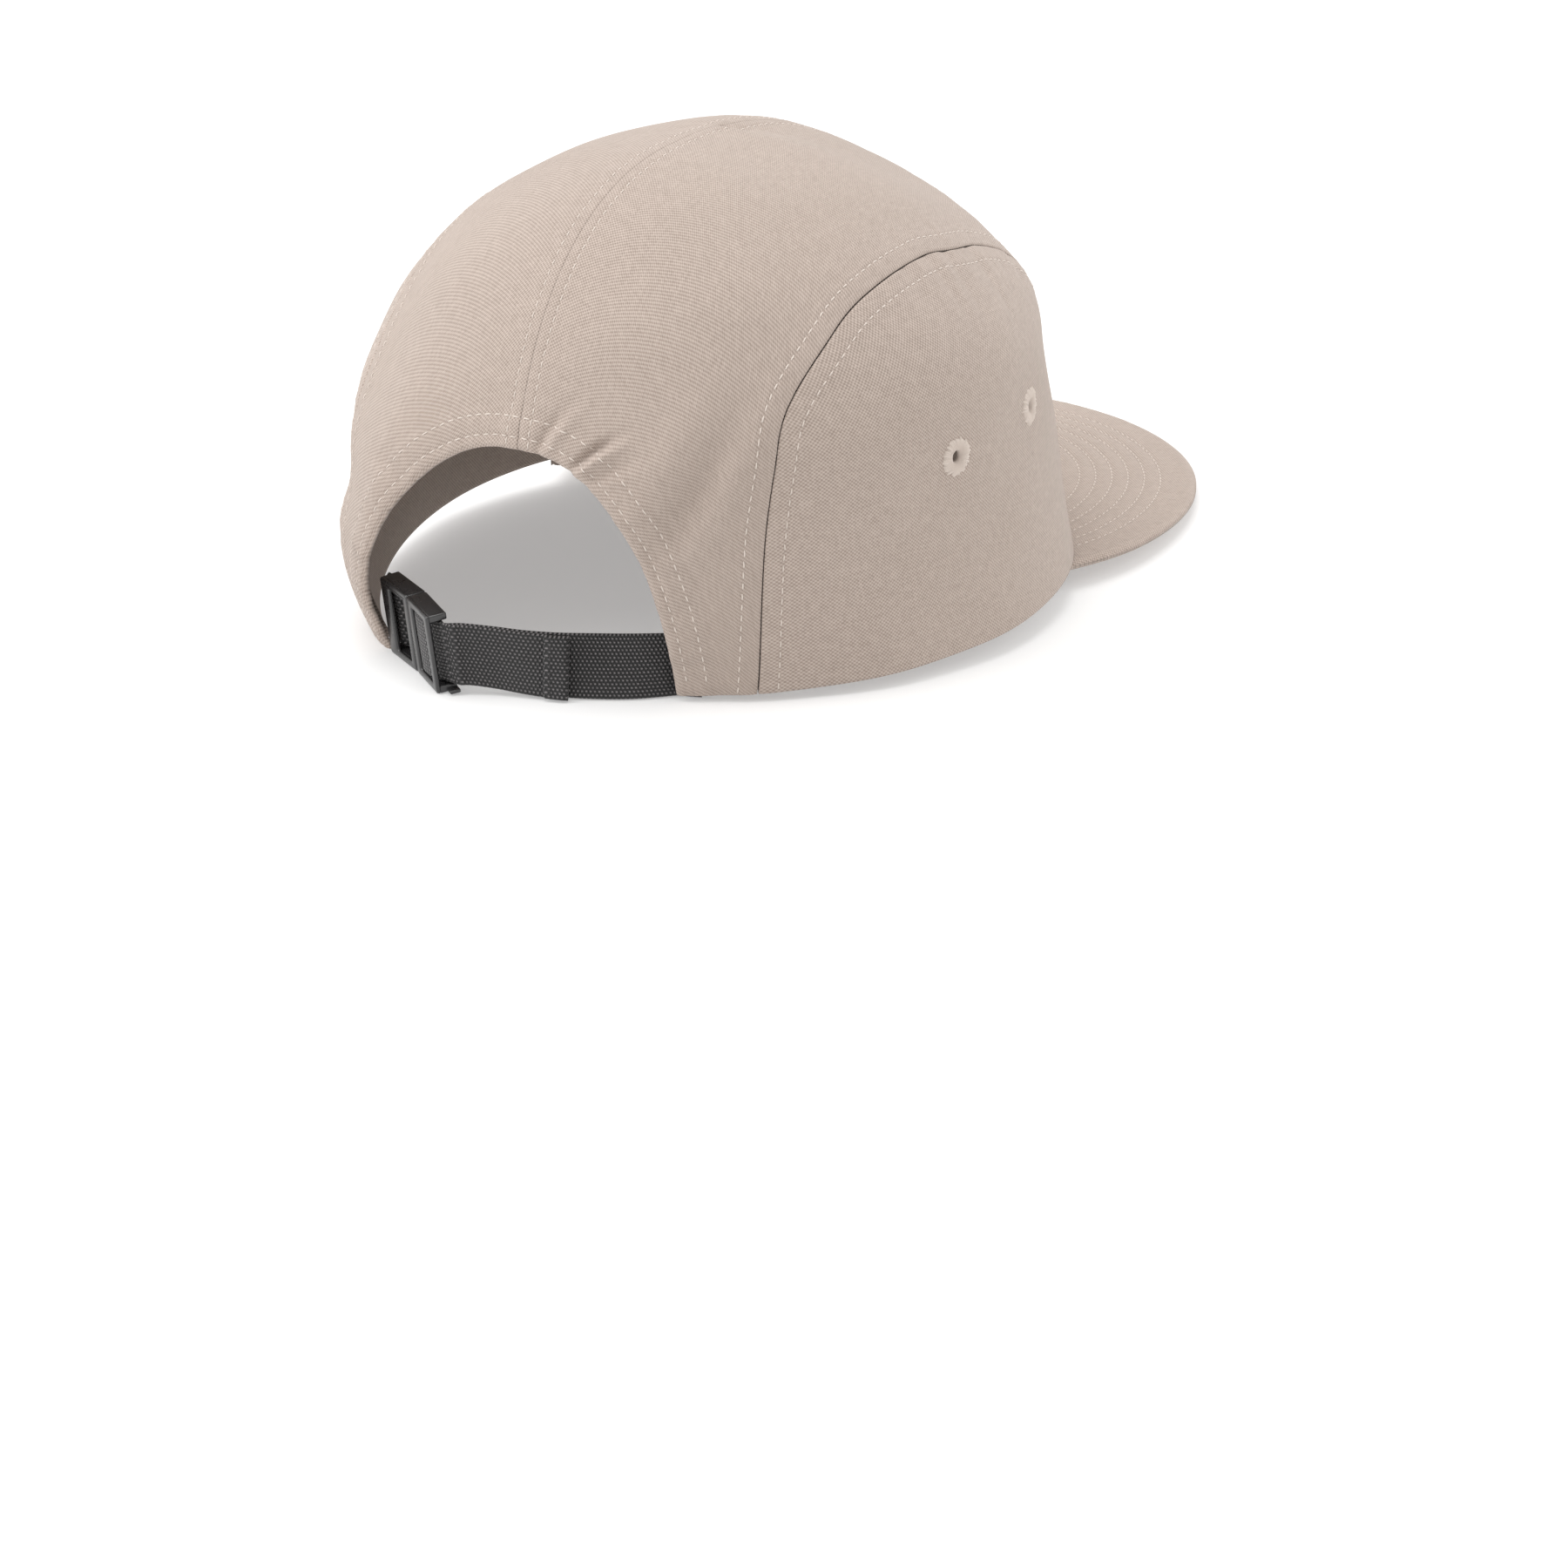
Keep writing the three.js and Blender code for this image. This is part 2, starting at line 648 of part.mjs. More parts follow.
// The strap's free run from its seat over the ground to the back of the buckle.
function strapRun() {
  const exit = held("catch", catchLength + pieceGap, strapBehindEnd - layer);
  const start = tip(new THREE.Vector3(-archRight, cornerBack(archRight), 0)).setZ(0);
  const line = exit.place.clone().sub(start).setZ(0);
  const side = new THREE.Vector3(-line.y, line.x, 0).normalize();
  const route = strapRoute.map((r) =>
    start.clone()
      .addScaledVector(line, r.along)
      .addScaledVector(side, r.out * strapBow)
      .setZ(THREE.MathUtils.lerp(strapLift, exit.place.z, r.lift)));
  const seat = seated(-1, archRight, strapLift).map((s) => s.place);
  const last = held("catch", catchLength - endBar, strapRear);
  const curve = new THREE.CatmullRomCurve3([...seat, ...route, exit.place, last.place]);
  const stations = [];
  for (let i = 0; i <= strapSteps; i++) {
    const share = i / strapSteps;
    const lean = THREE.MathUtils.smoothstep(share, strapLeanStart, strapLeanEnd);
    const up = upright.clone().lerp(last.up, lean).normalize();
    stations.push({ place: curve.getPoint(share), up, thickness: webThickness });
  }
  return { stations, exit };
}

// The tail lies over the free run, doubled for its hem at the very end.
function strapTail({ stations, exit }) {
  const tail = [];
  for (let i = strapSteps - tailStart; i > 0; i--) {
    const s = stations[i];
    const travelled = exit.place.distanceTo(s.place);
    if (travelled > tailReach) break;
    const ahead = stations[i + 1].place.clone().sub(stations[i - 1].place).setZ(0).normalize();
    const away = new THREE.Vector3(-ahead.y, ahead.x, 0);
    const thickness = travelled > tailReach - hemLength ? 2 * webThickness : webThickness;
    const outBy = layer + (thickness - webThickness) / 2;
    tail.push({ place: s.place.clone().addScaledVector(away, outBy), up: s.up, thickness });
  }
  return tail;
}

// The strap: sewn inside the right corner, through the buckle, round its middle bar and back out.
function strap() {
  const run = strapRun();
  const turnStart = middleBarStart + barRoot;
  const turnEnd = catchStile + pieceGap + webThickness / 2;
  const bend = [];
  for (let i = 0; i <= bendSteps; i++) {
    const turn = (i / bendSteps) * Math.PI;
    const x = THREE.MathUtils.lerp(turnStart, turnEnd, Math.sin(turn));
    bend.push(held("catch", x, THREE.MathUtils.lerp(strapRear, strapFront, (1 - Math.cos(turn)) / 2)));
  }
  const beforeEnd = catchLength - endBar;
  const over = [
    held("catch", middleBarStart + middleBar, strapFront),
    held("catch", beforeEnd - webThickness, (strapFront + strapBehindEnd) / 2),
    held("catch", beforeEnd, strapBehindEnd),
  ];
  return ribbon([...run.stations, ...bend, ...over, ...strapTail(run)]);
}

// The tab: a short strip from inside the left corner of the arch round the buckle's far bar.
function tab() {
  const start = -frameLength;
  const barStart = start + tabBarStart;
  const turnRadius = webThickness / 2 + pieceGap + tabBarDepth / 2;
  const stations = [
    ...seated(1, archLeft, windowLow),
    held("frame", start + 2 * pieceGap, tabFront),
    held("frame", barStart, tabFront),
  ];
  for (let i = 0; i <= bendSteps; i++) {
    const turn = (i / bendSteps) * Math.PI;
    const x = barStart + tabBarWidth + Math.sin(turn) * turnRadius;
    stations.push(held("frame", x, tabFront - turnRadius * (1 - Math.cos(turn))));
  }
  stations.push(held("frame", barStart, tabFront - 2 * turnRadius));
  return ribbon(stations);
}

function piece(name, geometry, look) {
  const drawn = facingOut(geometry);
  drawn.computeVertexNormals();
  const mesh = new THREE.Mesh(drawn, new THREE.MeshStandardMaterial(look));
  mesh.name = name;
  return mesh;
}

const cap = new THREE.Group();
cap.add(piece("front_panel", frontPanel(), canvas));
cap.add(piece("side_panel_right", sidePanel(-1), canvas));
cap.add(piece("side_panel_left", sidePanel(1), canvas));
cap.add(piece("back_panel_right", backPanel(-1), canvas));
cap.add(piece("back_panel_left", backPanel(1), canvas));
cap.add(piece("sweatband", sweatband(), canvas));
cap.add(piece("peak", peak(), canvas));
for (const [side, name] of [[-1, "right"], [1, "left"]]) {
  cap.add(piece("eyelet_" + name + "_front", eyelet(side, eyeletFront), lighter));
  cap.add(piece("eyelet_" + name + "_rear", eyelet(side, eyeletBack), lighter));
}
cap.add(piece("strap", strap(), webbing));
cap.add(piece("strap_tab", tab(), webbing));
cap.add(piece("buckle_frame", frameHalf(), plastic));
cap.add(piece("buckle_catch", catchHalf(), plastic));

// The origin is under the middle of the cap, on the ground.
const bounds = new THREE.Box3().setFromObject(cap);
const middle = bounds.getCenter(new THREE.Vector3());
cap.position.set(-middle.x, -middle.y, -bounds.min.z);

const root = new THREE.Group();
root.add(cap);
export default root;
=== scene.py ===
# %% [markdown]
# # A five panel canvas cap
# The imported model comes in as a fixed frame: every node sits where it belongs, in metres.
# Each cloth node is then replaced by a surface of the same form with seams, folds and stitches.

# %% Frame
import math

import bmesh
import bpy
import numpy as np
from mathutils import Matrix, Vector


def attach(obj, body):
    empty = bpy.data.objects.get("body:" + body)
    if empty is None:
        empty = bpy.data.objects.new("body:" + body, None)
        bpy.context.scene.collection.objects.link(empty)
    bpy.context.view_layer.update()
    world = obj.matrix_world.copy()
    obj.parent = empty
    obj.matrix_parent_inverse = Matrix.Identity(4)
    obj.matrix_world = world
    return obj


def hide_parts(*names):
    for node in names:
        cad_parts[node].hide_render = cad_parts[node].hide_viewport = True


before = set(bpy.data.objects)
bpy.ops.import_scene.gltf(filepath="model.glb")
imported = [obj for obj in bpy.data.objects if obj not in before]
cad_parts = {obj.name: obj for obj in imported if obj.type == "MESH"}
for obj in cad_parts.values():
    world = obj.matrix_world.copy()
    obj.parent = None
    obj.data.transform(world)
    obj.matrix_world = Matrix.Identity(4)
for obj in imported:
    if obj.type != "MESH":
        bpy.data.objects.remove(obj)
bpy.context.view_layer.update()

MM = 0.001

# %% [markdown]
# The camera comes first, because everything else is judged through it.
# The cap lies high and to the left in the picture. A large lens shift would follow the camera into
# every other view, so the camera is turned a little instead: it aims beside and below the cap.

# %% Camera
IMAGE_SIDE = 1800
CAMERA_AZIMUTH, CAMERA_ELEVATION = 212.11, 17.83
CAMERA_DISTANCE = 1300
CAMERA_TARGET = np.array([-0.1, 30.9, 56.5])
TARGET_PIXEL = np.array([832.7, 424.4])
FOCAL_PIXELS = 5875


def aim_camera():
    """Puts the camera on a ray from the target, then turns it by the smallest turn that brings the
    target to its pixel."""
    a, e = math.radians(CAMERA_AZIMUTH), math.radians(CAMERA_ELEVATION)
    back = Vector((math.sin(a) * math.cos(e), -math.cos(a) * math.cos(e), math.sin(e)))
    data = bpy.data.cameras.new("camera")
    data.sensor_width = 36
    data.lens = FOCAL_PIXELS / IMAGE_SIDE * data.sensor_width
    data.clip_start, data.clip_end = 0.05, 50
    camera = bpy.data.objects.new("camera", data)
    bpy.context.scene.collection.objects.link(camera)
    camera.location = (Vector(CAMERA_TARGET) + CAMERA_DISTANCE * back) * MM
    off = (TARGET_PIXEL - IMAGE_SIDE / 2) / FOCAL_PIXELS
    seen = Vector((off[0], -off[1], -1)).normalized()
    turn = Vector((0, 0, -1)).rotation_difference(seen)
    camera.rotation_mode = "QUATERNION"
    camera.rotation_quaternion = (-back).to_track_quat("-Z", "Y") @ turn.inverted()
    bpy.context.scene.camera = camera
    return camera


camera = aim_camera()
print("lens:", round(camera.data.lens, 1), "mm")

# %% [markdown]
# A pale floor and large soft lights: a big panel overhead, one from the peak's side and one from the
# back left, with a bright even surround. The floor glows faintly, as a lit table does, so that the
# ground inside the cap isn't lost in the shade.

# %% Floor and lights


def node_material(name):
    """A new material with nodes, and its tree and shader."""
    material = bpy.data.materials.new(name)
    material.use_nodes = True
    tree = material.node_tree
    return material, tree, tree.nodes["Principled BSDF"]


def floor():
    """A wide flat square under the cap."""
    mesh = bpy.data.meshes.new("floor")
    side = 6
    corners = [(-side, -side, 0), (side, -side, 0), (side, side, 0), (-side, side, 0)]
    mesh.from_pydata(corners, [], [(0, 1, 2, 3)])
    ground = bpy.data.objects.new("floor", mesh)
    bpy.context.scene.collection.objects.link(ground)
    material, _, shader = node_material("pale_floor")
    shader.inputs["Base Color"].default_value = (0.62, 0.62, 0.62, 1)
    shader.inputs["Emission Color"].default_value = (1, 1, 1, 1)
    shader.inputs["Emission Strength"].default_value = 0.34
    shader.inputs["Roughness"].default_value = 0.9
    shader.inputs["Specular IOR Level"].default_value = 0.1
    mesh.materials.append(material)


def area_light(name, place, target, size, power):
    """A square soft light at a place, facing a target, in metres and watts."""
    data = bpy.data.lights.new(name, "AREA")
    data.size = size
    data.energy = power
    light = bpy.data.objects.new(name, data)
    light.location = place
    direction = Vector(target) - Vector(place)
    light.rotation_mode = "QUATERNION"
    light.rotation_quaternion = direction.to_track_quat("-Z", "Y")
    bpy.context.scene.collection.objects.link(light)


floor()
area_light("overhead", (0.25, 0.05, 1.5), (0, 0, 0.05), 1.3, 15)
area_light("peak_side", (-1.1, -1.0, 0.7), (0, 0, 0.06), 1.0, 6)
area_light("back_left", (1.0, 1.2, 0.8), (0, 0, 0.06), 1.0, 10)
world = bpy.data.worlds.new("surround")
world.use_nodes = True
world.node_tree.nodes["Background"].inputs["Color"].default_value = (1, 0.985, 0.965, 1)
world.node_tree.nodes["Background"].inputs["Strength"].default_value = 0.86
bpy.context.scene.world = world
bpy.context.scene.view_settings.view_transform = "Standard"

# %% [markdown]
# The crown is one smooth form: an oval section at every height, whose width and length follow a
# profile. The same named sizes as in the CAD model describe it, so the dressed cloth lies exactly
# where the plain solid lies. Everything here is in millimetres until a mesh is made.

# %% Crown sizes
RIM_HALF_WIDTH, RIM_FRONT, RIM_BACK = 88, 93, 90
CROWN_HEIGHT, APEX_BACK = 116, 25.7
SIDE_WIDTH, SIDE_SHOULDER, SIDE_ROUND = 81.5, 58, 1.7
FRONT_LENGTH, FRONT_SHOULDER, FRONT_ROUND, FRONT_SQUARE = 94, 51, 2.28, 1.9
BACK_LENGTH, BACK_SHOULDER, BACK_ROUND, BACK_SQUARE = 93.4, 27, 1.91, 1.98
SIDE_MIDDLE, SIDE_FRONT, SIDE_BACK, SIDE_HEIGHT = 3.3, 86.2, 68.7, 91
SIDE_FRONT_SQUARE, SIDE_BACK_SQUARE = 1.92, 3.5
CROSS_SEAM = math.radians(48)
ARCH_LEFT, ARCH_RIGHT, ARCH_HEIGHT, ARCH_SQUARE = 40.5, 35.5, 61, 2.28
PEAK_LENGTH, PEAK_THICKNESS, PEAK_TILT = 73, 3, 6
PEAK_HALF_WIDTH, PEAK_WIDEST, PEAK_END, PEAK_HEEL, PEAK_EASE = 85.7, 66, 34.8, 81, 8
PIECE_GAP, REST_PRESS, REAR_SAG = 0.3, 0.3, 2
# The CAD model's wall, the dressed cloth's own thickness and the height of its turned hem
CLOTH_WALL, CLOTH, HEM_HEIGHT = 1.6, 1.3, 8
BULGE_TURN, BULGE_LEFT, BULGE_RIGHT, BULGE_HEIGHT, BULGE_RISE = 25.4, 38.4, 12, 25, 38
BULGE_SIDE, BULGE_BACK, BULGE_SAG = 5.2, 15.6, 2.6

# %% Crown form


def profile(z, rim, middle, shoulder, round_power):
    """From the rim value down to a middle value at the shoulder by a square law, then a rounded
    curve that closes at the crown's height."""
    low = middle + (rim - middle) * (1 - z / shoulder) ** 2
    share = np.clip((z - shoulder) / (CROWN_HEIGHT - shoulder), 0, 1)
    high = middle * (1 - share**round_power) ** (1 / round_power)
    return np.where(z > shoulder, high, low)


def half_width(y, z):
    """Half the crown's width: the oval with width w and length l at that height, |x/w|^n+|y/l|^n=1."""
    along = y - APEX_BACK * np.clip(z / CROWN_HEIGHT, 0, 1) ** 2
    front = along < 0
    length = np.where(
        front,
        profile(z, RIM_FRONT, FRONT_LENGTH, FRONT_SHOULDER, FRONT_ROUND),
        profile(z, RIM_BACK, BACK_LENGTH, BACK_SHOULDER, BACK_ROUND),
    )
    square = np.where(front, FRONT_SQUARE, BACK_SQUARE)
    share = np.minimum(np.abs(along) / np.maximum(length, 1e-6), 1)
    width = profile(z, RIM_HALF_WIDTH, SIDE_WIDTH, SIDE_SHOULDER, SIDE_ROUND)
    return width * (1 - share**square) ** (1 / square)


def along_ray(start, direction):
    """Where rays from inside leave the crown: the span is halved again and again."""
    near = np.zeros(start.shape[:-1])
    far = near + 2 * CROWN_HEIGHT
    for _ in range(36):
        middle = (near + far) / 2
        p = start + direction * middle[..., None]
        within = (np.abs(p[..., 0]) < half_width(p[..., 1], p[..., 2])) & (p[..., 2] < CROWN_HEIGHT)
        near = np.where(within, middle, near)
        far = np.where(within, far, middle)
    return start + direction * near[..., None]


def unit(v):
    """Each vector divided by its length."""
    return v / np.maximum(np.linalg.norm(v, axis=-1, keepdims=True), 1e-9)


CORE = np.array([0, SIDE_MIDDLE, CROWN_HEIGHT / 3])


def outward(p):
    """The crown's outward direction: the cross product of two short steps over its surface."""
    direction = unit(p - CORE)
    across = np.stack([-direction[..., 1], direction[..., 0], 0 * direction[..., 0]], -1)
    across[np.linalg.norm(across, axis=-1) < 1e-3] = (1, 0, 0)
    across = unit(across)
    up = np.cross(direction, across)
    core = np.broadcast_to(CORE, p.shape)
    step = 0.02
    ends = [along_ray(core, unit(direction + s * step * a)) for a in (across, up) for s in (1, -1)]
    return unit(np.cross(ends[0] - ends[1], ends[2] - ends[3]))


# %% [markdown]
# Cloth never hangs quite smooth. A short table lists the soft folds: where each lies round the crown
# and up it, how wide it is, how it leans and how deep it is. Each one is a smooth bump, exp(-r^2).

# %% Folds
FOLD_DEPTH = 2
# Turn from the back towards the wearer's left, share of height, span, rise, lean, depth
FOLDS = np.array([
    (-21.5, 0.48, 4, 0.15, -25, 0.6),
    (-27.5, 0.45, 3.6, 0.13, -25, -1.8),
    (-32.5, 0.49, 4.5, 0.15, -25, 0.8),
    (-27, 0.27, 5, 0.07, 0, -0.5),
    (42, 0.46, 14, 0.09, 0, 0.35),
    (50, 0.34, 16, 0.06, 0, -1.3),
    (60, 0.22, 18, 0.12, 8, 0.9),
    (-150, 0.62, 12, 0.08, 0, -0.6),
    (150, 0.6, 14, 0.09, 0, -0.5),
    (180, 0.38, 22, 0.12, 0, 0.5),
    (-150, 0.86, 30, 0.14, 0, -1.6),
    (-124, 0.6, 12, 0.08, 0, 0.5),
    (51, 0.75, 22, 0.15, 0, -0.8),
])


def bump(distance, width):
    """One in the middle, falling away smoothly to both sides: exp(-(d/w)^2)."""
    return np.exp(-((distance / width) ** 2))


def fold_at(p):
    """How far the folds stand out: the sum of their leaning bumps."""
    turn = np.degrees(np.arctan2(p[..., 0], p[..., 1]))
    out = np.zeros(turn.shape)
    for at, height, span, rise, lean, depth in FOLDS:
        up = p[..., 2] / CROWN_HEIGHT - height
        around = (turn - at + 540) % 360 - 180 - math.tan(math.radians(lean)) * up * 90
        out += depth * FOLD_DEPTH * bump(around, span) * bump(up, rise)
    return out


# %% [markdown]
# The cap stands by itself: the rim dips at the front to meet the flat peak, the slack strap lets the
# left rear bulge out and hang down, and the whole cap leans back on its rear edge and its peak.

# %% Standing
PEAK_SLOPE = math.tan(math.radians(PEAK_TILT))


def dip_at(y):
    """How far the rim dips: a straight slope in front, eased in over a short length."""
    return PEAK_SLOPE * (np.hypot(y + PEAK_END, PEAK_EASE) - y - PEAK_END) / 2


def corner_back(arch):
    """How far back the arch's corner lies on the rim's oval."""
    return RIM_BACK * (1 - (arch / RIM_HALF_WIDTH) ** BACK_SQUARE) ** (1 / BACK_SQUARE)


REAR_CORNER = corner_back(ARCH_LEFT)
TIP_DROP = dip_at(-RIM_FRONT - PEAK_LENGTH) + PIECE_GAP + PEAK_THICKNESS
PITCH = math.atan2(TIP_DROP - REAR_SAG, RIM_FRONT + PEAK_LENGTH + REAR_CORNER)
# From the middle of the rim to the middle of the CAD box
CENTRING = np.array([-0.12, 27.8, 0])


def tip(q):
    """Turns places in the rim's frame on to the ground, and flattens what would go through it."""
    y = q[..., 1] * math.cos(PITCH) + q[..., 2] * math.sin(PITCH)
    z = (q[..., 2] + REAR_SAG) * math.cos(PITCH) + (REAR_CORNER - q[..., 1]) * math.sin(PITCH)
    return np.stack([q[..., 0], y, np.maximum(z - REST_PRESS, 0)], -1) + CENTRING


def stand(p):
    """Bulge at the left rear, dip at the front, then the lean."""
    side = np.degrees(np.arctan2(p[..., 0], p[..., 1])) - BULGE_TURN
    span = np.where(side > 0, BULGE_LEFT, BULGE_RIGHT)
    share = bump(side, span) * bump(p[..., 2] - BULGE_HEIGHT, BULGE_RISE)
    low = np.clip(1 - p[..., 2] / SIDE_SHOULDER, 0, 1)
    q = p.copy()
    q[..., 0] += BULGE_SIDE * share
    q[..., 1] += BULGE_BACK * share
    q[..., 2] -= BULGE_SAG * share * low + dip_at(p[..., 1]) * low**2
    return tip(q)


print("lean:", round(math.degrees(PITCH), 2), "degrees")

# %% [markdown]
# A piece of cloth is a shell: a grid of outer points, the same grid inside, and the four edges closed
# between them. The mesh also gets a UV map in metres of cloth, so that the weave follows the surface.

# %% Shells


def grid_faces(rows, columns, around=False, closed=False):
    """Four-sided faces between neighbouring points of a grid. Around also joins its last column to
    its first, and closed its last row to its first."""
    i, j = np.meshgrid(np.arange(rows - (not closed)), np.arange(columns - (not around)), indexing="ij")
    below, beside = (i + 1) % rows, (j + 1) % columns
    corners = [i * columns + j, i * columns + beside, below * columns + beside, below * columns + j]
    return np.stack(corners, -1).reshape(-1, 4)


def placed(name, mesh, material, node):
    """Puts a finished mesh into the scene as a smooth piece of the cap."""
    mesh.polygons.foreach_set("use_smooth", [True] * len(mesh.polygons))
    mesh.materials.append(material)
    piece = bpy.data.objects.new(name, mesh)
    bpy.context.scene.collection.objects.link(piece)
    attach(piece, "root")
    if node:
        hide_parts(*node)
    return piece


# Points closer than this many metres are one point
SAME_POINT = 2e-6


def add_mesh(name, points, faces, uv, material, node):
    """Makes a piece from points in millimetres and faces, merges doubles and turns it outwards."""
    mesh = bpy.data.meshes.new(name)
    mesh.from_pydata((points * MM).tolist(), [], faces.tolist() if isinstance(faces, np.ndarray) else faces)
    if uv is not None:
        layer = mesh.uv_layers.new(name="cloth")
        order = np.zeros(len(mesh.loops), np.int32)
        mesh.loops.foreach_get("vertex_index", order)
        layer.data.foreach_set("uv", (uv[order] * MM).astype(np.float32).ravel())
    work = bmesh.new()
    work.from_mesh(mesh)
    bmesh.ops.remove_doubles(work, verts=work.verts, dist=SAME_POINT)
    bmesh.ops.dissolve_degenerate(work, edges=work.edges, dist=SAME_POINT / 2)
    bmesh.ops.recalc_face_normals(work, faces=work.faces)
    if work.calc_volume(signed=True) < 0:
        bmesh.ops.reverse_faces(work, faces=work.faces)
    work.to_mesh(mesh)
    work.free()
    return placed(name, mesh, material, node)


def shell(name, outer, inner, uv, material, node, opened=None):
    """A closed wall between two grids of the same size. Faces on opened points are left out, and every
    edge that only one kept face uses is joined to the same edge of the other layer."""
    rows, columns = outer.shape[:2]
    count = rows * columns
    points = np.concatenate([outer.reshape(-1, 3), inner.reshape(-1, 3)])
    kept = grid_faces(rows, columns)
    if opened is not None:
        kept = kept[~opened.ravel()[kept].any(1)]
    edges = np.concatenate([kept[:, [k, (k + 1) % 4]] for k in range(4)])
    key = edges.min(1) * count + edges.max(1)
    _, where, uses = np.unique(key, return_index=True, return_counts=True)
    a, b = edges[where[uses == 1]].T
    faces = np.concatenate([kept, kept[:, ::-1] + count, np.stack([b, a, a + count, b + count], -1)])
    both = np.concatenate([uv.reshape(-1, 2), uv.reshape(-1, 2)])
    return add_mesh(name, points, faces, both, material, node)


def grid_normals(points, way):
    """The cross product of the two steps over a grid, on the side that a given direction points to."""
    normals = unit(np.cross(np.gradient(points, axis=1), np.gradient(points, axis=0)))
    return normals * np.sign((normals * way).sum(-1).mean())


def lengths(points, axis):
    """How far each grid point lies along its row or column, by adding up the steps."""
    steps = np.linalg.norm(np.diff(points, axis=axis), axis=-1)
    pad = [(0, 0), (0, 0)]
    pad[axis] = (1, 0)
    return np.pad(np.cumsum(steps, axis=axis), pad)


def distance_to(line, points):
    """The distance from each point to the nearest of a line's close points, and how far along the
    line that is: the squared distances are |p|^2 + |q|^2 - 2 p.q, all at once."""
    flat = points.reshape(-1, 3)
    out = np.empty(len(flat))
    where = np.empty(len(flat), int)
    for start in range(0, len(flat), 8000):
        p = flat[start:start + 8000]
        square = (p**2).sum(1)[:, None] + (line**2).sum(1)[None] - 2 * p @ line.T
        where[start:start + 8000] = square.argmin(1)
        out[start:start + 8000] = np.sqrt(np.maximum(square.min(1), 0))
    run = np.concatenate([[0], np.cumsum(np.linalg.norm(np.diff(line, axis=0), axis=1))])
    return out.reshape(points.shape[:-1]), run[where].reshape(points.shape[:-1])


# %% [markdown]
# Seams are where a cap looks sewn. Under a seam lie the turned edges of both panels, so the cloth
# stands a little higher beside it, dips at the seam itself and at each stitch row, and puckers in
# short waves that fade away from it. All of it is one function of the distance to the seam.

# %% Seam relief


def waves(run, seed, length=9.0):
    """A wavering line from a few sines of unlike lengths, about -1 to 1, the same every time."""
    turns = np.random.default_rng(seed).uniform(0, 2 * math.pi, 5)
    parts = [np.sin(2 * math.pi * run / (length * k) + t) for k, t in zip((0.63, 1, 1.7, 2.9, 4.3), turns)]
    return sum(parts) / 3


def ledge(distance, width):
    """One on the near side, none on the far side, with a soft step between: 1/(1+exp(d/w))."""
    return 1 / (1 + np.exp(distance / width))


def seam_relief(distance, run, row_at, seed, groove=0.4, pucker=0.16, reach=8.0, layers=0.3):
    """Height beside a seam: a raised allowance, a groove at the seam, a dent at the row, puckers."""
    inside = ledge(distance - row_at - 1.2, 0.5)
    cut = -groove * bump(distance, 0.4)
    dent = -0.2 * bump(distance - row_at, 0.45)
    fade = bump(distance - row_at, reach)
    wave = pucker * waves(run, seed) * fade * (1 - bump(distance, 2))
    return layers * inside + cut + dent + wave


def close_at_ends(count, share=0.6):
    """Steps from 0 to 1 that lie closer together towards both ends, where the seams are."""
    even = np.linspace(0, 1, count)
    return (1 - share) * even + share * (1 - np.cos(math.pi * even)) / 2


def hem_relief(distance, run, rows_at, seed, pucker=0.3, reach=7.0, layers=0.5):
    """Height beside a hemmed edge: a rounded edge, a raised hem, a dent at each row, puckers."""
    inside = ledge(distance - max(rows_at) - 1, 0.45)
    edge = -0.7 * bump(distance, 0.6)
    dents = sum(-0.22 * bump(distance - at, 0.5) for at in rows_at)
    fade = bump(np.maximum(distance - 2, 0), reach)
    return layers * inside + edge + dents + pucker * waves(run, seed, 7.5) * fade


# %% [markdown]
# The canvas is a plain weave. Two crossing sine waves give the over-and-under of the threads as a
# height for the bump and as a change of tone, and soft noise makes some threads thicker and lighter.

# %% Canvas material
THREAD_PITCH = 0.47
# How often the threads change, per metre along them and across them
SLUB_ALONG, SLUB_ACROSS = 260, 1500


def math_node(tree, operation, a, b=None):
    """A Math node on one or two sockets or numbers."""
    node = tree.nodes.new("ShaderNodeMath")
    node.operation = operation
    for value, socket in zip((a, b), node.inputs):
        if value is None:
            continue
        if isinstance(value, (int, float)):
            socket.default_value = value
        else:
            tree.links.new(value, socket)
    return node.outputs[0]


# A Mix node has sockets for numbers, vectors and colours: these are its colour sockets
MIX_DARK, MIX_LIGHT, MIX_RESULT = 6, 7, 2


def colour_mix(tree, factor, dark, light):
    """A Mix node between two colours."""
    node = tree.nodes.new("ShaderNodeMix")
    node.data_type = "RGBA"
    tree.links.new(factor, node.inputs["Factor"])
    node.inputs[MIX_DARK].default_value = (*dark, 1)
    node.inputs[MIX_LIGHT].default_value = (*light, 1)
    return node.outputs[MIX_RESULT]


def noise(tree, vector, scale, detail=2.0, rough=0.55):
    """A Noise node read on a vector."""
    node = tree.nodes.new("ShaderNodeTexNoise")
    node.inputs["Scale"].default_value = scale
    node.inputs["Detail"].default_value = detail
    node.inputs["Roughness"].default_value = rough
    tree.links.new(vector, node.inputs["Vector"])
    return node.outputs["Fac"]


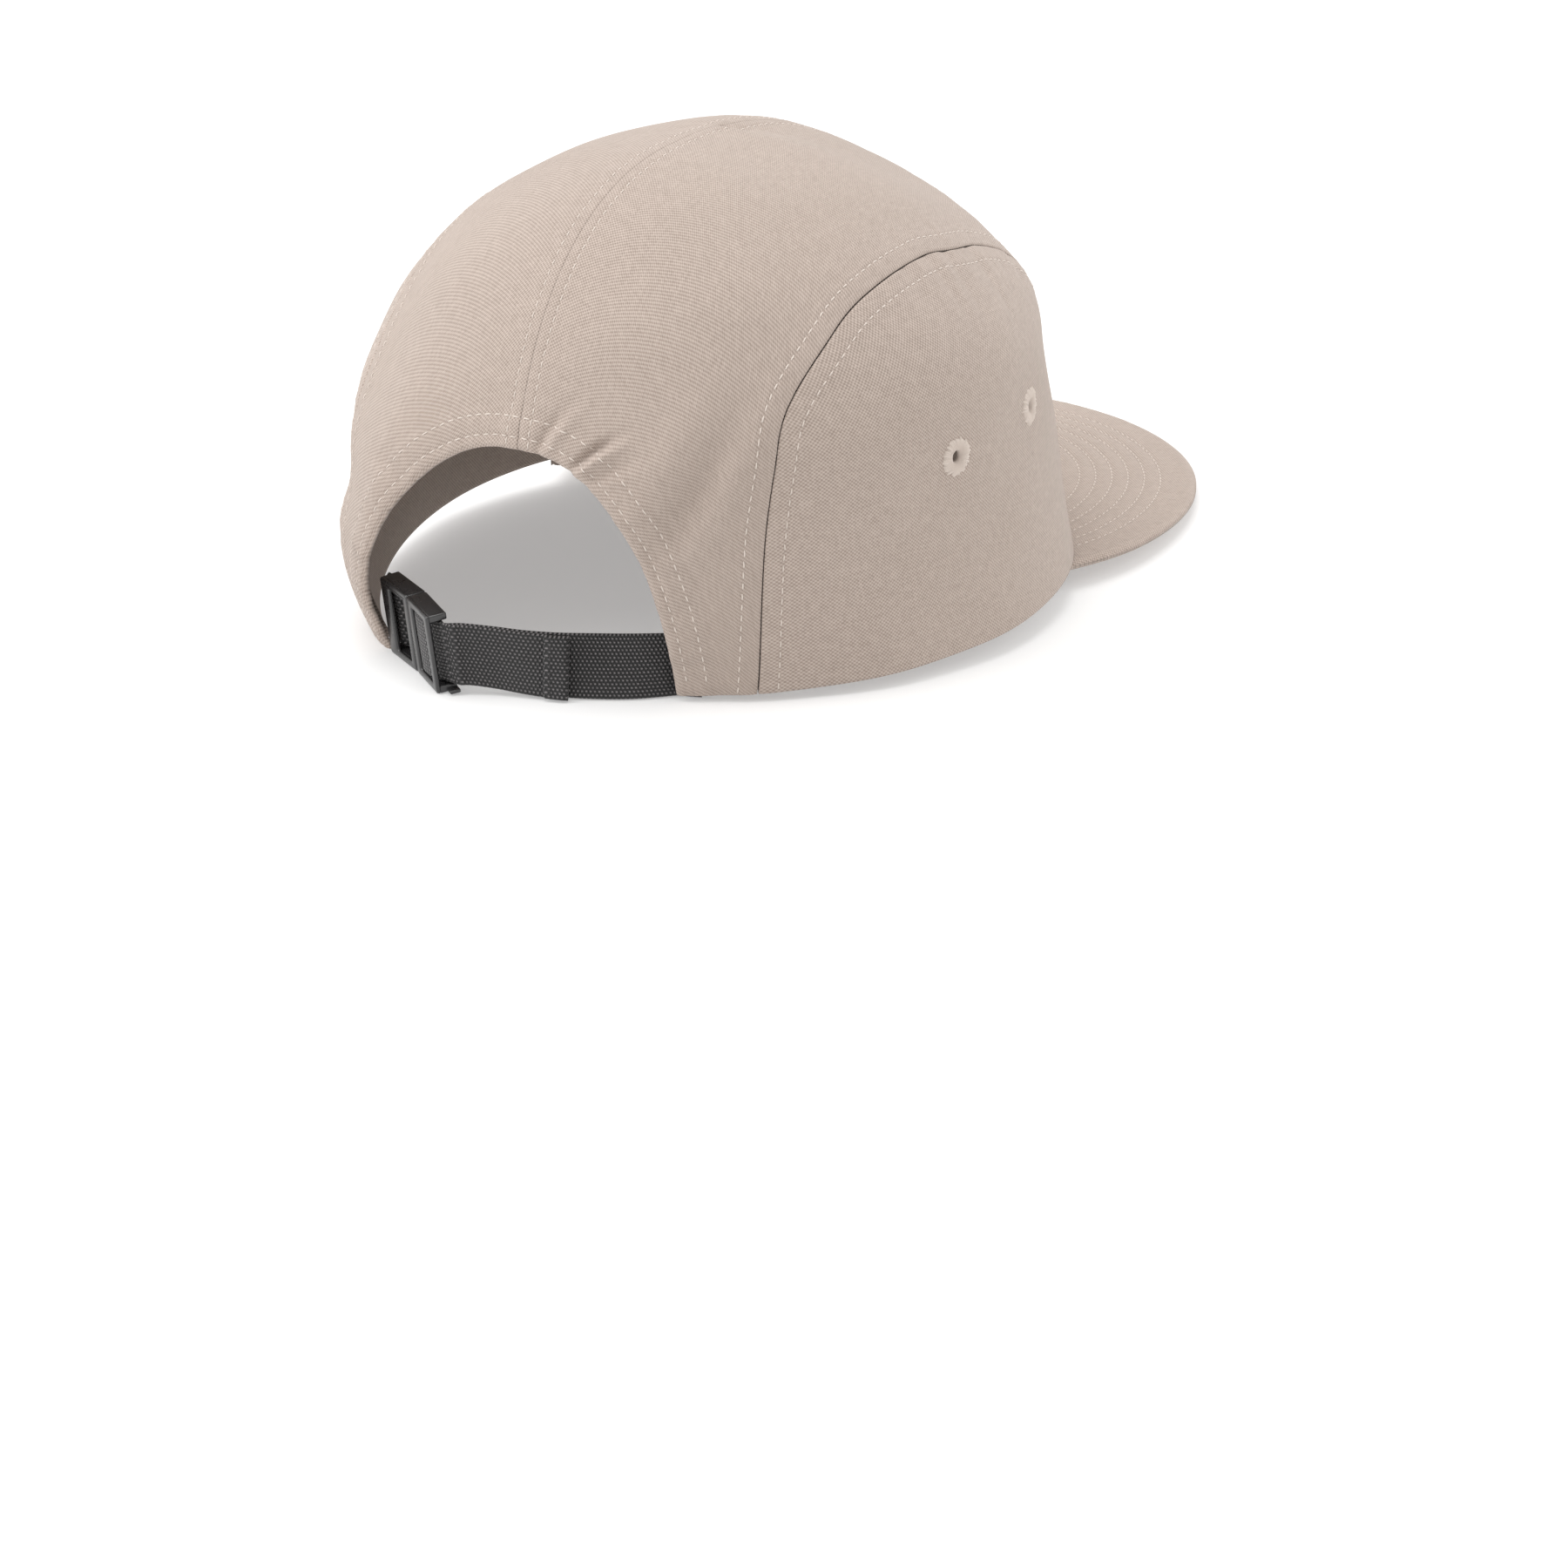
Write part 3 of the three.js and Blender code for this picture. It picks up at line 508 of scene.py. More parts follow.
def cloth_coordinates(tree, stretch=(1, 1, 1)):
    """The piece's own UV map, stretched where a pattern needs it, and its two parts."""
    uv = tree.nodes.new("ShaderNodeUVMap")
    uv.uv_map = "cloth"
    mapping = tree.nodes.new("ShaderNodeMapping")
    mapping.inputs["Scale"].default_value = stretch
    tree.links.new(uv.outputs["UV"], mapping.inputs["Vector"])
    split = tree.nodes.new("ShaderNodeSeparateXYZ")
    tree.links.new(mapping.outputs["Vector"], split.inputs["Vector"])
    return mapping.outputs["Vector"], split.outputs["X"], split.outputs["Y"]


def add_bump(tree, shader, height, strength, distance):
    """A Bump node on the shader's normal."""
    bump = tree.nodes.new("ShaderNodeBump")
    bump.inputs["Strength"].default_value = strength
    bump.inputs["Distance"].default_value = distance
    tree.links.new(height, bump.inputs["Height"])
    tree.links.new(bump.outputs["Normal"], shader.inputs["Normal"])


def canvas_material(name, dark, light):
    """Plain weave: height = sin(u) sin(v) at the thread's pitch, with slubs and faint wear."""
    material, tree, shader = node_material(name)
    vector, u, v = cloth_coordinates(tree)
    wobble = math_node(tree, "MULTIPLY", noise(tree, vector, SLUB_ALONG), 1.4)
    turns = math.pi / (THREAD_PITCH * MM)
    wave_u = math_node(tree, "SINE", math_node(tree, "ADD", math_node(tree, "MULTIPLY", u, turns), wobble))
    wave_v = math_node(tree, "SINE", math_node(tree, "MULTIPLY", v, turns))
    weave = math_node(tree, "MULTIPLY", wave_u, wave_v)
    along, _, _ = cloth_coordinates(tree, (SLUB_ALONG, SLUB_ACROSS, 1))
    across, _, _ = cloth_coordinates(tree, (SLUB_ACROSS, SLUB_ALONG, 1))
    slub = math_node(tree, "ADD", noise(tree, along, 1.0), noise(tree, across, 1.0))
    tone = math_node(tree, "ADD", math_node(tree, "MULTIPLY", weave, 0.6),
                     math_node(tree, "MULTIPLY", math_node(tree, "SUBTRACT", slub, 1.0), 0.7))
    place = tree.nodes.new("ShaderNodeTexCoord")
    patch = math_node(tree, "SUBTRACT", noise(tree, place.outputs["Object"], 14, 4), 0.5)
    tone = math_node(tree, "ADD", tone, math_node(tree, "MULTIPLY", patch, 0.35))
    factor = math_node(tree, "ADD", tone, 0.5)
    factor.node.use_clamp = True
    tree.links.new(colour_mix(tree, factor, dark, light), shader.inputs["Base Color"])
    shader.inputs["Roughness"].default_value = 0.92
    shader.inputs["Specular IOR Level"].default_value = 0.25
    shader.inputs["Sheen Weight"].default_value = 0.18
    shader.inputs["Sheen Roughness"].default_value = 0.5
    height = math_node(tree, "ADD", math_node(tree, "MULTIPLY", weave, 0.5), slub)
    add_bump(tree, shader, height, 0.5, 0.00025)
    return material


def thread_material(name, colour, sheen=0.25):
    """Twisted sewing thread: fine slanting ribs on the piece's own places."""
    material, tree, shader = node_material(name)
    place = tree.nodes.new("ShaderNodeTexCoord")
    fine = noise(tree, place.outputs["Object"], 2600, 2)
    shade = tuple(c * 0.82 for c in colour)
    tree.links.new(colour_mix(tree, fine, shade, colour), shader.inputs["Base Color"])
    shader.inputs["Roughness"].default_value = 0.7
    shader.inputs["Sheen Weight"].default_value = sheen
    add_bump(tree, shader, fine, 0.5, 0.0001)
    return material


canvas = canvas_material("stone_canvas", (0.298, 0.240, 0.205), (0.508, 0.426, 0.376))
seam_thread = thread_material("seam_thread", (0.68, 0.60, 0.54))
# Nearly black thread colour: painted shade for the seam's shaded groove.
painted_shade_thread = thread_material("painted_shade_thread", (0.09, 0.072, 0.062), 0.0)
eyelet_thread = thread_material("buttonhole_thread", (0.66, 0.575, 0.515))
print("materials:", [m.name for m in bpy.data.materials])

# %% [markdown]
# Stitches are real little threads, not paint: each is a short rounded capsule that dips into the
# cloth at both ends. One small capsule is worked out once and laid along every row with numpy.

# %% Stitches
STITCH_PITCH, STITCH_LENGTH, STITCH_WIDTH = 2.8, 2.0, 0.38


def capsule(rings=5, sides=6):
    """A rounded bar along x: rings of points whose radius swells in the middle, and two end points."""
    x = np.linspace(-1, 1, rings + 2)[1:-1, None]
    radius = np.sqrt(1 - np.abs(x) ** 3)
    turn = np.arange(sides) / sides * 2 * math.pi
    bar = np.stack(np.broadcast_arrays(x, radius * np.cos(turn), radius * np.sin(turn)), -1)
    points = np.concatenate([bar.reshape(-1, 3), [(-1, 0, 0), (1, 0, 0)]])
    tail, nose, last = rings * sides, rings * sides + 1, (rings - 1) * sides
    faces = grid_faces(rings, sides, around=True).tolist()
    faces += [[tail, (s + 1) % sides, s] for s in range(sides)]
    faces += [[nose, last + s, last + (s + 1) % sides] for s in range(sides)]
    return points, faces


CAPSULE_POINTS, CAPSULE_FACES = capsule()
stitch_rows = {}


def resampled(line, normals, pitch):
    """Points and normals at even steps along a line, each between its two neighbours."""
    run = np.concatenate([[0], np.cumsum(np.linalg.norm(np.diff(line, axis=0), axis=1))])
    at = np.arange(pitch / 2, run[-1] - pitch / 2, pitch)
    places = np.stack([np.interp(at, run, line[:, k]) for k in range(3)], -1)
    facing = unit(np.stack([np.interp(at, run, normals[:, k]) for k in range(3)], -1))
    ahead = np.stack([np.interp(at + 0.5, run, line[:, k]) for k in range(3)], -1)
    return places, facing, unit(ahead - places)


def sew(group, line, normals, pitch=STITCH_PITCH, length=STITCH_LENGTH, width=STITCH_WIDTH, lift=0.12):
    """Keeps one capsule per stitch for a group: along the row, sideways and up from the cloth."""
    if len(line) < 2:
        return
    places, facing, along = resampled(np.asarray(line), np.asarray(normals), pitch)
    side = unit(np.cross(facing, along))
    shape = CAPSULE_POINTS * (length / 2, width / 2, width * 0.4)
    sunk = lift - 0.26 * (CAPSULE_POINTS[:, 0] ** 2)
    skew = np.random.default_rng(len(places)).normal(0, 0.05, (len(places), 1, 1))
    across = shape[None, :, 1, None] + skew * CAPSULE_POINTS[None, :, 0, None]
    points = (
        places[:, None] + along[:, None] * shape[None, :, 0, None]
        + side[:, None] * across
        + facing[:, None] * (shape[:, 2] + sunk)[None, :, None]
    )
    stitch_rows.setdefault(group, []).append(points.reshape(-1, 3))


def make_stitches(group, material):
    """All the kept capsules of a group as one mesh."""
    points = np.concatenate(stitch_rows[group])
    count = len(points) // len(CAPSULE_POINTS)
    starts = np.arange(count)[:, None] * len(CAPSULE_POINTS)
    faces = [face for shape in CAPSULE_FACES for face in (starts + shape).tolist()]
    mesh = bpy.data.meshes.new(group)
    mesh.from_pydata((points * MM).tolist(), [], faces)
    placed(group, mesh, material, ())
    print(group, count, "stitches")


def contour(distance, at, points, normals, axis, keep=None):
    """Where a distance field over a grid passes a value, once per row or column: the place between
    the last grid point below it and the first above it."""
    if axis == 0:
        distance, points, normals = distance.T, points.transpose(1, 0, 2), normals.transpose(1, 0, 2)
    above = distance > at
    crossing = above[:, 1:] != above[:, :-1]
    found = crossing.any(1)
    if keep is not None:
        found &= keep
    first = crossing.argmax(1)
    i = np.nonzero(found)[0]
    j = first[i]
    share = ((at - distance[i, j]) / (distance[i, j + 1] - distance[i, j]))[:, None]
    place = points[i, j] * (1 - share) + points[i, j + 1] * share
    facing = normals[i, j] * (1 - share) + normals[i, j + 1] * share
    return place, unit(facing)


# %% [markdown]
# Each crown panel is one grid over its own outline, so the grid's edges are the panel's edges and no
# cutting is needed. The places between the side seams are found along rays in side view.

# %% Panel places
# Where the sewn seam strays from its smooth line: angle and width in degrees, distance in mm
SEAM_STRAYS = ((133, 6, 1.2), (119, 7, -1.1), (98, 9, 0.7), (80, 7, -1.1), (60, 7, 0.9))


def seam_reach(angle):
    """The side seam in side view, as a distance from its middle on the rim, by angle."""
    forward = np.cos(angle) > 0
    length = np.where(forward, SIDE_FRONT, SIDE_BACK)
    square = np.where(forward, SIDE_FRONT_SQUARE, SIDE_BACK_SQUARE)
    total = (np.abs(np.cos(angle)) / length) ** square + (np.abs(np.sin(angle)) / SIDE_HEIGHT) ** square
    strays = sum(far * bump(np.degrees(angle) - at, wide) for at, wide, far in SEAM_STRAYS)
    return total ** (-1 / square) + strays


def fan_place(reach, angle):
    """A place in side view, from a distance and an angle about the seam's middle."""
    return SIDE_MIDDLE - reach * np.cos(angle), reach * np.maximum(np.sin(angle), 0)


def seam_half_width(angle):
    """How far the side seam lies from the middle of the crown, by angle."""
    return half_width(*fan_place(seam_reach(angle), angle))


def top_place(across, angle):
    """A place between the two side seams: across is -1 to 1, angle is up from the front."""
    across, angle = np.broadcast_arrays(across, angle)
    x = across * seam_half_width(angle)
    start = np.stack([x, 0 * x + SIDE_MIDDLE, 0 * x], -1)
    direction = np.stack([0 * x, -np.cos(angle), np.maximum(np.sin(angle), 0)], -1)
    return along_ray(start, direction)


TOP_REACH, TOP_ACROSS, TOP_ALONG = 64, 50, 240


def top_table():
    """For sections across and along the top, how far each place lies from the middle and the front."""
    x = np.linspace(0, TOP_REACH, TOP_ACROSS)[:, None]
    angle = np.linspace(0, math.pi, TOP_ALONG)[None, :]
    x, angle = np.broadcast_arrays(x, angle)
    start = np.stack([x, 0 * x + SIDE_MIDDLE, 0 * x], -1)
    p = along_ray(start, np.stack([0 * x, -np.cos(angle), np.maximum(np.sin(angle), 0)], -1))
    return np.stack([lengths(p, 0), lengths(p, 1)], -1)


TOP_TABLE = top_table()


def top_weave(x, angle):
    """The weave's own places on the top panels, read from the table between its four neighbours."""
    angle = np.broadcast_to(angle, x.shape)
    i = np.abs(x) / TOP_REACH * (TOP_ACROSS - 1)
    j = angle / math.pi * (TOP_ALONG - 1)
    i0 = np.clip(i.astype(int), 0, TOP_ACROSS - 2)
    j0 = np.clip(j.astype(int), 0, TOP_ALONG - 2)
    a, b = (i - i0)[..., None], (j - j0)[..., None]
    low = (1 - a) * TOP_TABLE[i0, j0] + a * TOP_TABLE[i0 + 1, j0]
    high = (1 - a) * TOP_TABLE[i0, j0 + 1] + a * TOP_TABLE[i0 + 1, j0 + 1]
    return ((1 - b) * low + b * high) * np.stack([np.sign(x), 0 * x + 1], -1)


def seam_line(side, start=0.0, count=500):
    """Close points along a side seam, from an angle above the rim in front to the same at the back."""
    return top_place(np.full(count, float(side)), np.linspace(start, math.pi - start, count))


def cross_line(count=400):
    """Close points along the seam between the front panel and the back panels."""
    return top_place(np.linspace(-1, 1, count), np.full(count, CROSS_SEAM))


def arch_edge(share, arch):
    """The arch's edge from the rim up to the centre: an oval outline in rear view on the crown."""
    turn = share * math.pi / 2
    x = np.maximum(arch * np.cos(turn) ** (2 / ARCH_SQUARE), 0)
    z = ARCH_HEIGHT * np.sin(turn) ** (2 / ARCH_SQUARE)
    start = np.stack([x, 0 * x + SIDE_MIDDLE, z], -1)
    p = along_ray(start, np.broadcast_to(np.array([0.0, 1.0, 0.0]), start.shape))
    angle = math.pi - np.arctan2(p[..., 2], p[..., 1] - SIDE_MIDDLE)
    return x, angle, p


def dressed(p, relief, thickness=CLOTH):
    """The outer and inner grid of a panel: the plain crown, its folds and its relief, stood up."""
    normal = outward(p)
    normal[..., 2] *= np.clip(p[..., 2] / HEM_HEIGHT, 0, 1)
    normal = unit(normal)
    lift = (fold_at(p) + relief)[..., None]
    inner_lift = (fold_at(p) + 0.4 * relief - thickness)[..., None]
    return stand(p + normal * lift), stand(p + normal * np.minimum(inner_lift, lift - 0.5))


def slow_rumple(p, seed, size=0.32):
    """A faint unevenness all over the cloth, from crossing long waves."""
    turns = np.random.default_rng(seed).uniform(0, 2 * math.pi, 4)
    x, y, z = p[..., 0], p[..., 1], p[..., 2]
    return size * (
        np.sin(x / 9 + z / 17 + turns[0]) * np.sin(y / 13 - z / 11 + turns[1])
        + 0.6 * np.sin(y / 6 + x / 15 + turns[2]) * np.sin(z / 7 + turns[3])
    )


# How far each row of stitches lies from its seam or edge
SIDE_ROW, CENTRE_ROW, CROSS_ROW, ARCH_ROWS = 4.9, 3.0, 3.5, (3.0, 7.8)
# Where panels end short of their seams: a distance, two shares of the way across and an angle
SIDE_EDGE, TOP_EDGE, CENTRE_EDGE, CROSS_EDGE = 0.12, 0.998, 0.0006, 0.001
# Tucks under the side seam's row: place along the seam, reach and depth
SIDE_TUCKS = ((118, 16, 0.4), (131, 13, 0.45), (141, 17, 0.4), (152, 10, 0.3), (92, 12, 0.25))
TUCK_WIDTH = 2.2

# %% [markdown]
# The side panels are fans: rays from the middle of the lower edge out to the arched seam. Faces over
# each eyelet hole are left out, and the two layers are joined round it, hidden by the thread ring.
# Deep in the seam lies a row of short, nearly black threads: painted shade, standing in for the sewing
# thread in the seam's shaded groove.

# %% Side panels
SHADOW_PITCH, SHADOW_LENGTH, SHADOW_WIDTH = 1.1, 0.75, 0.3
EYELET_OPENING = 2.6
EYELET_HEIGHT = 0.538 * SIDE_HEIGHT
EYELET_PLACES = (("front", SIDE_MIDDLE - 0.22 * SIDE_FRONT), ("rear", SIDE_MIDDLE + 0.272 * SIDE_BACK))


def side_panel(side, name):
    """A D of cloth: rays by angle from the lower middle, cut off by the seam."""
    angle = np.linspace(0, math.pi, 270)[None, :]
    reach = (1 - (1 - np.linspace(0, 1, 170)[:, None]) ** 1.5) * (seam_reach(angle) - SIDE_EDGE)
    y, z = fan_place(reach, angle)
    p = np.stack([side * half_width(y, z), y, z], -1)
    seam, run = distance_to(seam_line(side), p)
    relief = seam_relief(seam, run, SIDE_ROW, 3 + side)
    relief += slow_rumple(p, 11 + side) * np.clip(seam / 20, 0, 1)
    for at, length, depth in SIDE_TUCKS:
        relief -= depth * bump(run - at, TUCK_WIDTH) * bump(seam - SIDE_ROW, length)
    opened = sum(np.hypot(y - at, z - EYELET_HEIGHT) < EYELET_OPENING for _, at in EYELET_PLACES) > 0
    outer, inner = dressed(p, relief)
    if side > 0:
        outer, inner, p, seam, opened = (g[:, ::-1] for g in (outer, inner, p, seam, opened))
    uv = np.stack([p[..., 1], p[..., 2]], -1)
    shell(name, outer, inner, uv, canvas, (name,), opened=opened)
    normals = grid_normals(outer[1:], [side, 0, 0])
    sew("crown_stitches", *contour(seam[1:], SIDE_ROW, outer[1:], normals, 0))
    line = seam_line(side)
    facing = outward(line)
    laid = stand(line + facing * (fold_at(line) - SIDE_EDGE)[:, None])
    # Painted shade: dark capsules laid along the seam's groove, where the sewing thread lies in shade.
    sew("seam_shadows", laid, facing, SHADOW_PITCH, SHADOW_LENGTH, SHADOW_WIDTH, 0.0)


side_panel(-1, "side_panel_right")
side_panel(1, "side_panel_left")

# %% [markdown]
# The front panel rises from the peak to the cross seam, between the two side seams.

# %% Front panel


def front_panel():
    """Across between the side seams, and up by angle."""
    across = 2 * close_at_ends(210)[None, :] - 1
    angle = close_at_ends(170)[:, None] * (CROSS_SEAM - CROSS_EDGE)
    p = top_place(across * TOP_EDGE, angle)
    right, run = distance_to(seam_line(-1), p)
    left, _ = distance_to(seam_line(1), p)
    cross, cross_run = distance_to(cross_line(), p)
    relief = seam_relief(np.minimum(right, left), run, SIDE_ROW, 21)
    relief += seam_relief(cross, cross_run, CROSS_ROW, 22, 0.35)
    relief += slow_rumple(p, 24) * np.clip(np.minimum(np.minimum(right, left), cross) / 20, 0, 1)
    outer, inner = dressed(p, relief)
    uv = top_weave(p[..., 0], angle)
    shell("front_panel", outer, inner, uv, canvas, ("front_panel",))
    normals = grid_normals(outer, [0, -1, 0])
    centre = int((across[0] < 0).sum())
    for part, field in ((slice(0, centre), right), (slice(centre, None), left)):
        sew("crown_stitches", *contour(field[:, part], SIDE_ROW, outer[:, part], normals[:, part], 1))
    near_cross = -20
    middle = (np.minimum(right, left) > SIDE_ROW + 1)[near_cross]
    sew("crown_stitches", *contour(cross, CROSS_ROW, outer, normals, 0, middle))


front_panel()

# %% [markdown]
# The two back panels run from the cross seam over the top down to the rim, and end in the arch.
# A deep short pucker crosses the arch's hem on the right, where the two stitch rows pull the cloth.

# %% Back panels
# Side, share of the arch's edge, width and depth
ARCH_PUCKERS = ((-1, 0.80, 1.0, 2.1), (-1, 0.92, 1.2, 1.1), (-1, 0.735, 1.3, 0.6), (1, 0.6, 2.2, 0.6))


def back_panel(side, name):
    """Ruled between the cross seam and the lower edge, which is the rim and then the arch."""
    arch_half = ARCH_RIGHT if side < 0 else ARCH_LEFT
    u = close_at_ends(180)[None, :]
    v = close_at_ends(260)[:, None]
    rim_share = 0.16
    rim_width = float(seam_half_width(np.array(math.pi)))
    on_arch = np.clip((u - rim_share) / (1 - rim_share), 0, 1)
    arch_x, arch_angle, _ = arch_edge(on_arch, arch_half)
    rim_x = rim_width + (arch_half - rim_width) * u / rim_share
    on_rim = u <= rim_share
    end_angle = np.where(on_rim, math.pi, arch_angle)
    end_across = np.where(on_rim, rim_x, arch_x) / seam_half_width(end_angle)
    angle = CROSS_SEAM + (end_angle - CROSS_SEAM) * v
    across = np.clip((1 - u) * (1 - v) + end_across * v, CENTRE_EDGE, TOP_EDGE)
    p = top_place(side * across, angle)
    seam, run = distance_to(seam_line(side), p)
    cross, cross_run = distance_to(cross_line(), p)
    centre = np.abs(p[..., 0])
    arch_line = arch_edge(np.linspace(0, 1, 700), arch_half)[2] * [side, 1, 1]
    arch, arch_run = distance_to(arch_line, p)
    share = arch_run / arch_run.max()
    relief = seam_relief(seam, run, SIDE_ROW, 31 + side)
    relief += seam_relief(centre, lengths(p, 0), CENTRE_ROW, 33 + side, 0.08, layers=0.15)
    relief += seam_relief(cross, cross_run, CROSS_ROW, 22, 0.35)
    relief += hem_relief(arch, arch_run, ARCH_ROWS, 35 + side)
    near = np.minimum(np.minimum(seam, cross), centre)
    relief += slow_rumple(p, 39 + side) * np.clip(near / 15, 0, 1)
    for where, at, width, depth in ARCH_PUCKERS:
        if where == side:
            beside = (share - at) * arch_run.max() + 0.25 * (arch - 6)
            pleat = bump(beside, width) - 0.7 * bump(beside + 2 * width, width)
            relief -= depth * pleat * bump(arch - 7, 6)
    outer, inner = dressed(p, relief)
    uv = top_weave(p[..., 0], angle)
    if side > 0:
        outer, inner, uv = outer[:, ::-1], inner[:, ::-1], uv[:, ::-1]
        seam, centre, cross, arch, p = (g[:, ::-1] for g in (seam, centre, cross, arch, p))
    shell(name, outer, inner, uv, canvas, (name,))
    normals = grid_normals(outer, [0, 0, 1])
    sew("crown_stitches", *contour(seam, SIDE_ROW, outer, normals, 1))
    sew("crown_stitches", *contour(centre, CENTRE_ROW, outer, normals, 1))
    near_cross, near_arch = 20, slice(100, None)
    beside_seam = (seam > SIDE_ROW + 1)[near_cross]
    sew("crown_stitches", *contour(cross, CROSS_ROW, outer, normals, 0, beside_seam))
    for at in ARCH_ROWS:
        sew("crown_stitches", *contour(arch[near_arch], at, outer[near_arch], normals[near_arch], 0))


back_panel(-1, "back_panel_right")
back_panel(1, "back_panel_left")
make_stitches("crown_stitches", seam_thread)
make_stitches("seam_shadows", painted_shade_thread)

# %% [markdown]
# Inside a cap a narrow tape is sewn over each side seam, so that no raw edge shows and no light comes
# through. It is a strip of canvas just under the cloth: steps to both sides of the seam's line, each
# put back on the crown by a ray.

# %% Seam tape
TAPE_HALF, TAPE_DEPTH, TAPE_THICKNESS, TAPE_END = 5.5, 1.5, 0.45, 0.035


def seam_tape(side, name):
    """Steps along the seam and across it, laid inside the cloth as two layers."""
    line = seam_line(side, TAPE_END, 260)
    sideways = unit(np.cross(outward(line), np.gradient(line, axis=0)))
    across = np.linspace(-TAPE_HALF, TAPE_HALF, 9)[:, None]
    p = line + sideways * across[..., None]
    p = along_ray(np.broadcast_to(CORE, p.shape), unit(p - CORE))
    facing = outward(p)
    facing[..., 2] *= np.clip(p[..., 2] / HEM_HEIGHT, 0, 1)
    facing = unit(facing)
    depth = (fold_at(p) - TAPE_DEPTH)[..., None]
    outer, inner = stand(p + facing * depth), stand(p + facing * (depth - TAPE_THICKNESS))
    uv = np.stack(np.broadcast_arrays(lengths(p, 1), across), -1)
    shell(name, outer, inner, uv, canvas, ())


seam_tape(-1, "seam_tape_right")
seam_tape(1, "seam_tape_left")

# %% [markdown]
# The sweatband is a folded strip inside the rim. It waves a little between its stitches.

# %% Sweatband
BAND_HEIGHT, BAND_WALL, BAND_GAP, BAND_END_SETBACK = 30, 1.4, 0.7, 8
# Which of the strip's rows of points carries the stitches
BAND_ROW = 29


def rim_place(turn, inset, z):
    """The rim's outline by a turn from the front, set in by a distance."""
    turn, inset, z = np.broadcast_arrays(turn, inset, z)
    start = np.stack([0 * turn, 0 * turn, z + 0.0], -1)
    p = along_ray(start, np.stack([np.sin(turn), -np.cos(turn), 0 * turn], -1))
    normal = outward(p)
    normal[..., 2] = 0
    return p + unit(normal) * (fold_at(p) - inset)[..., None]


def turn_behind(arch, length):
    """The turn to a place on the rim a length short of an arch corner."""
    back = corner_back(arch)
    return math.pi - math.atan2(arch, back) - length / math.hypot(arch, back)


def sweatband():
    """A strip round the inside, by turn and height."""
    right, left = -turn_behind(ARCH_RIGHT, BAND_END_SETBACK), turn_behind(ARCH_LEFT, BAND_END_SETBACK)
    turn = np.linspace(right, left, 420)[None, :]
    z = np.linspace(0, BAND_HEIGHT, 34)[:, None]
    run = turn * RIM_HALF_WIDTH
    wave = 0.35 * waves(run, 51, 11) * (z / BAND_HEIGHT)
    edge = 0.35 * bump(z - BAND_HEIGHT, 0.8)
    dent = 0.2 * bump(z - BAND_HEIGHT + 3, 0.6)
    inset = CLOTH_WALL + BAND_GAP
    outer = stand(rim_place(turn, inset, z))
    inner = stand(rim_place(turn, inset + BAND_WALL - edge - dent + np.minimum(wave, 0.25), z))
    uv = np.stack(np.broadcast_arrays(run, z), -1)
    shell("sweatband", outer, inner, uv, canvas, ("sweatband",))
    normals = grid_normals(inner, CORE + CENTRING - inner)
    sew("band_stitches", inner[BAND_ROW], normals[BAND_ROW])
    make_stitches("band_stitches", seam_thread)


sweatband()

# %% [markdown]
# The peak is a board between two layers of canvas. Its rows of stitches follow the outer edge inwards
# and end where they meet the crown, so each row is a line of equal distance to that edge.

# %% Peak
PEAK_FIRST_ROW, PEAK_ROW_STEP, PEAK_ROW_COUNT = 9.6, 4.35, 6
PEAK_ROWS = [PEAK_FIRST_ROW + PEAK_ROW_STEP * k for k in range(PEAK_ROW_COUNT)]
PEAK_ROLL = 2.6


def peak():
    """Between the rim and the outer edge, an oval front with two heels, rounded over its edge."""
    heel = math.pi / 2 + math.asin((PEAK_WIDEST - PEAK_END) / PEAK_HEEL)

    def edge_place(share):
        """The outer edge from heel to heel, by a share of the turn."""
        turn = share * heel
        reach = np.where(np.cos(turn) > 0, RIM_FRONT + PEAK_LENGTH - PEAK_WIDEST, PEAK_HEEL)
        return np.stack([PEAK_HALF_WIDTH * np.sin(turn), -PEAK_WIDEST - reach * np.cos(turn), 0 * turn], -1)

    share = np.linspace(-1, 1, 300)[None, :]
    out = 1 - (1 - np.linspace(0, 1, 120)[:, None]) ** 1.35
    end_width = float(half_width(np.array(-PEAK_END), np.array(0.0)))
    rim_turn = math.acos(PEAK_END / math.hypot(PEAK_END, end_width))
    inner_edge = rim_place(share * rim_turn, CLOTH_WALL, 0.0)
    flat = inner_edge * (1 - out[..., None]) + edge_place(share) * out[..., None]
    edge, run = distance_to(edge_place(np.linspace(-1, 1, 900)), flat)
    half = PEAK_THICKNESS / 2
    roll = np.clip(edge / PEAK_ROLL, 0, 1)
    body = (half - 0.12) * np.sqrt(1 - (1 - roll) ** 2)
    dents = sum(-0.22 * bump(edge - at, 0.65) for at in PEAK_ROWS)
    between = np.clip((edge - PEAK_FIRST_ROW) / PEAK_ROW_STEP, 0, PEAK_ROW_COUNT)
    quilt = 0.12 * np.abs(np.sin(between * math.pi))
    fine = 0.1 * waves(run, 61, 6) * bump(edge, 6)
    lift = body + dents * (roll > 0.99) + quilt + fine * roll
    middle = -dip_at(flat[..., 1]) - PIECE_GAP - half
    lift = np.minimum(lift, half + 0.15)
    top = tip(np.stack([flat[..., 0], flat[..., 1], middle + np.maximum(lift, 0.1)], -1))
    low = tip(np.stack([flat[..., 0], flat[..., 1], middle - np.maximum(lift, 0.1)], -1))
    uv = flat[..., :2]
    shell("peak", top, low, uv, canvas, ("peak",))
    up = grid_normals(top, [0, 0, 1])
    for at in PEAK_ROWS:
        sew("peak_stitches", *contour(edge, at, top, up, 0), lift=0.12)
        sew("peak_stitches", *contour(edge, at, low, -up, 0), lift=0.05)
    make_stitches("peak_stitches", seam_thread)


peak()

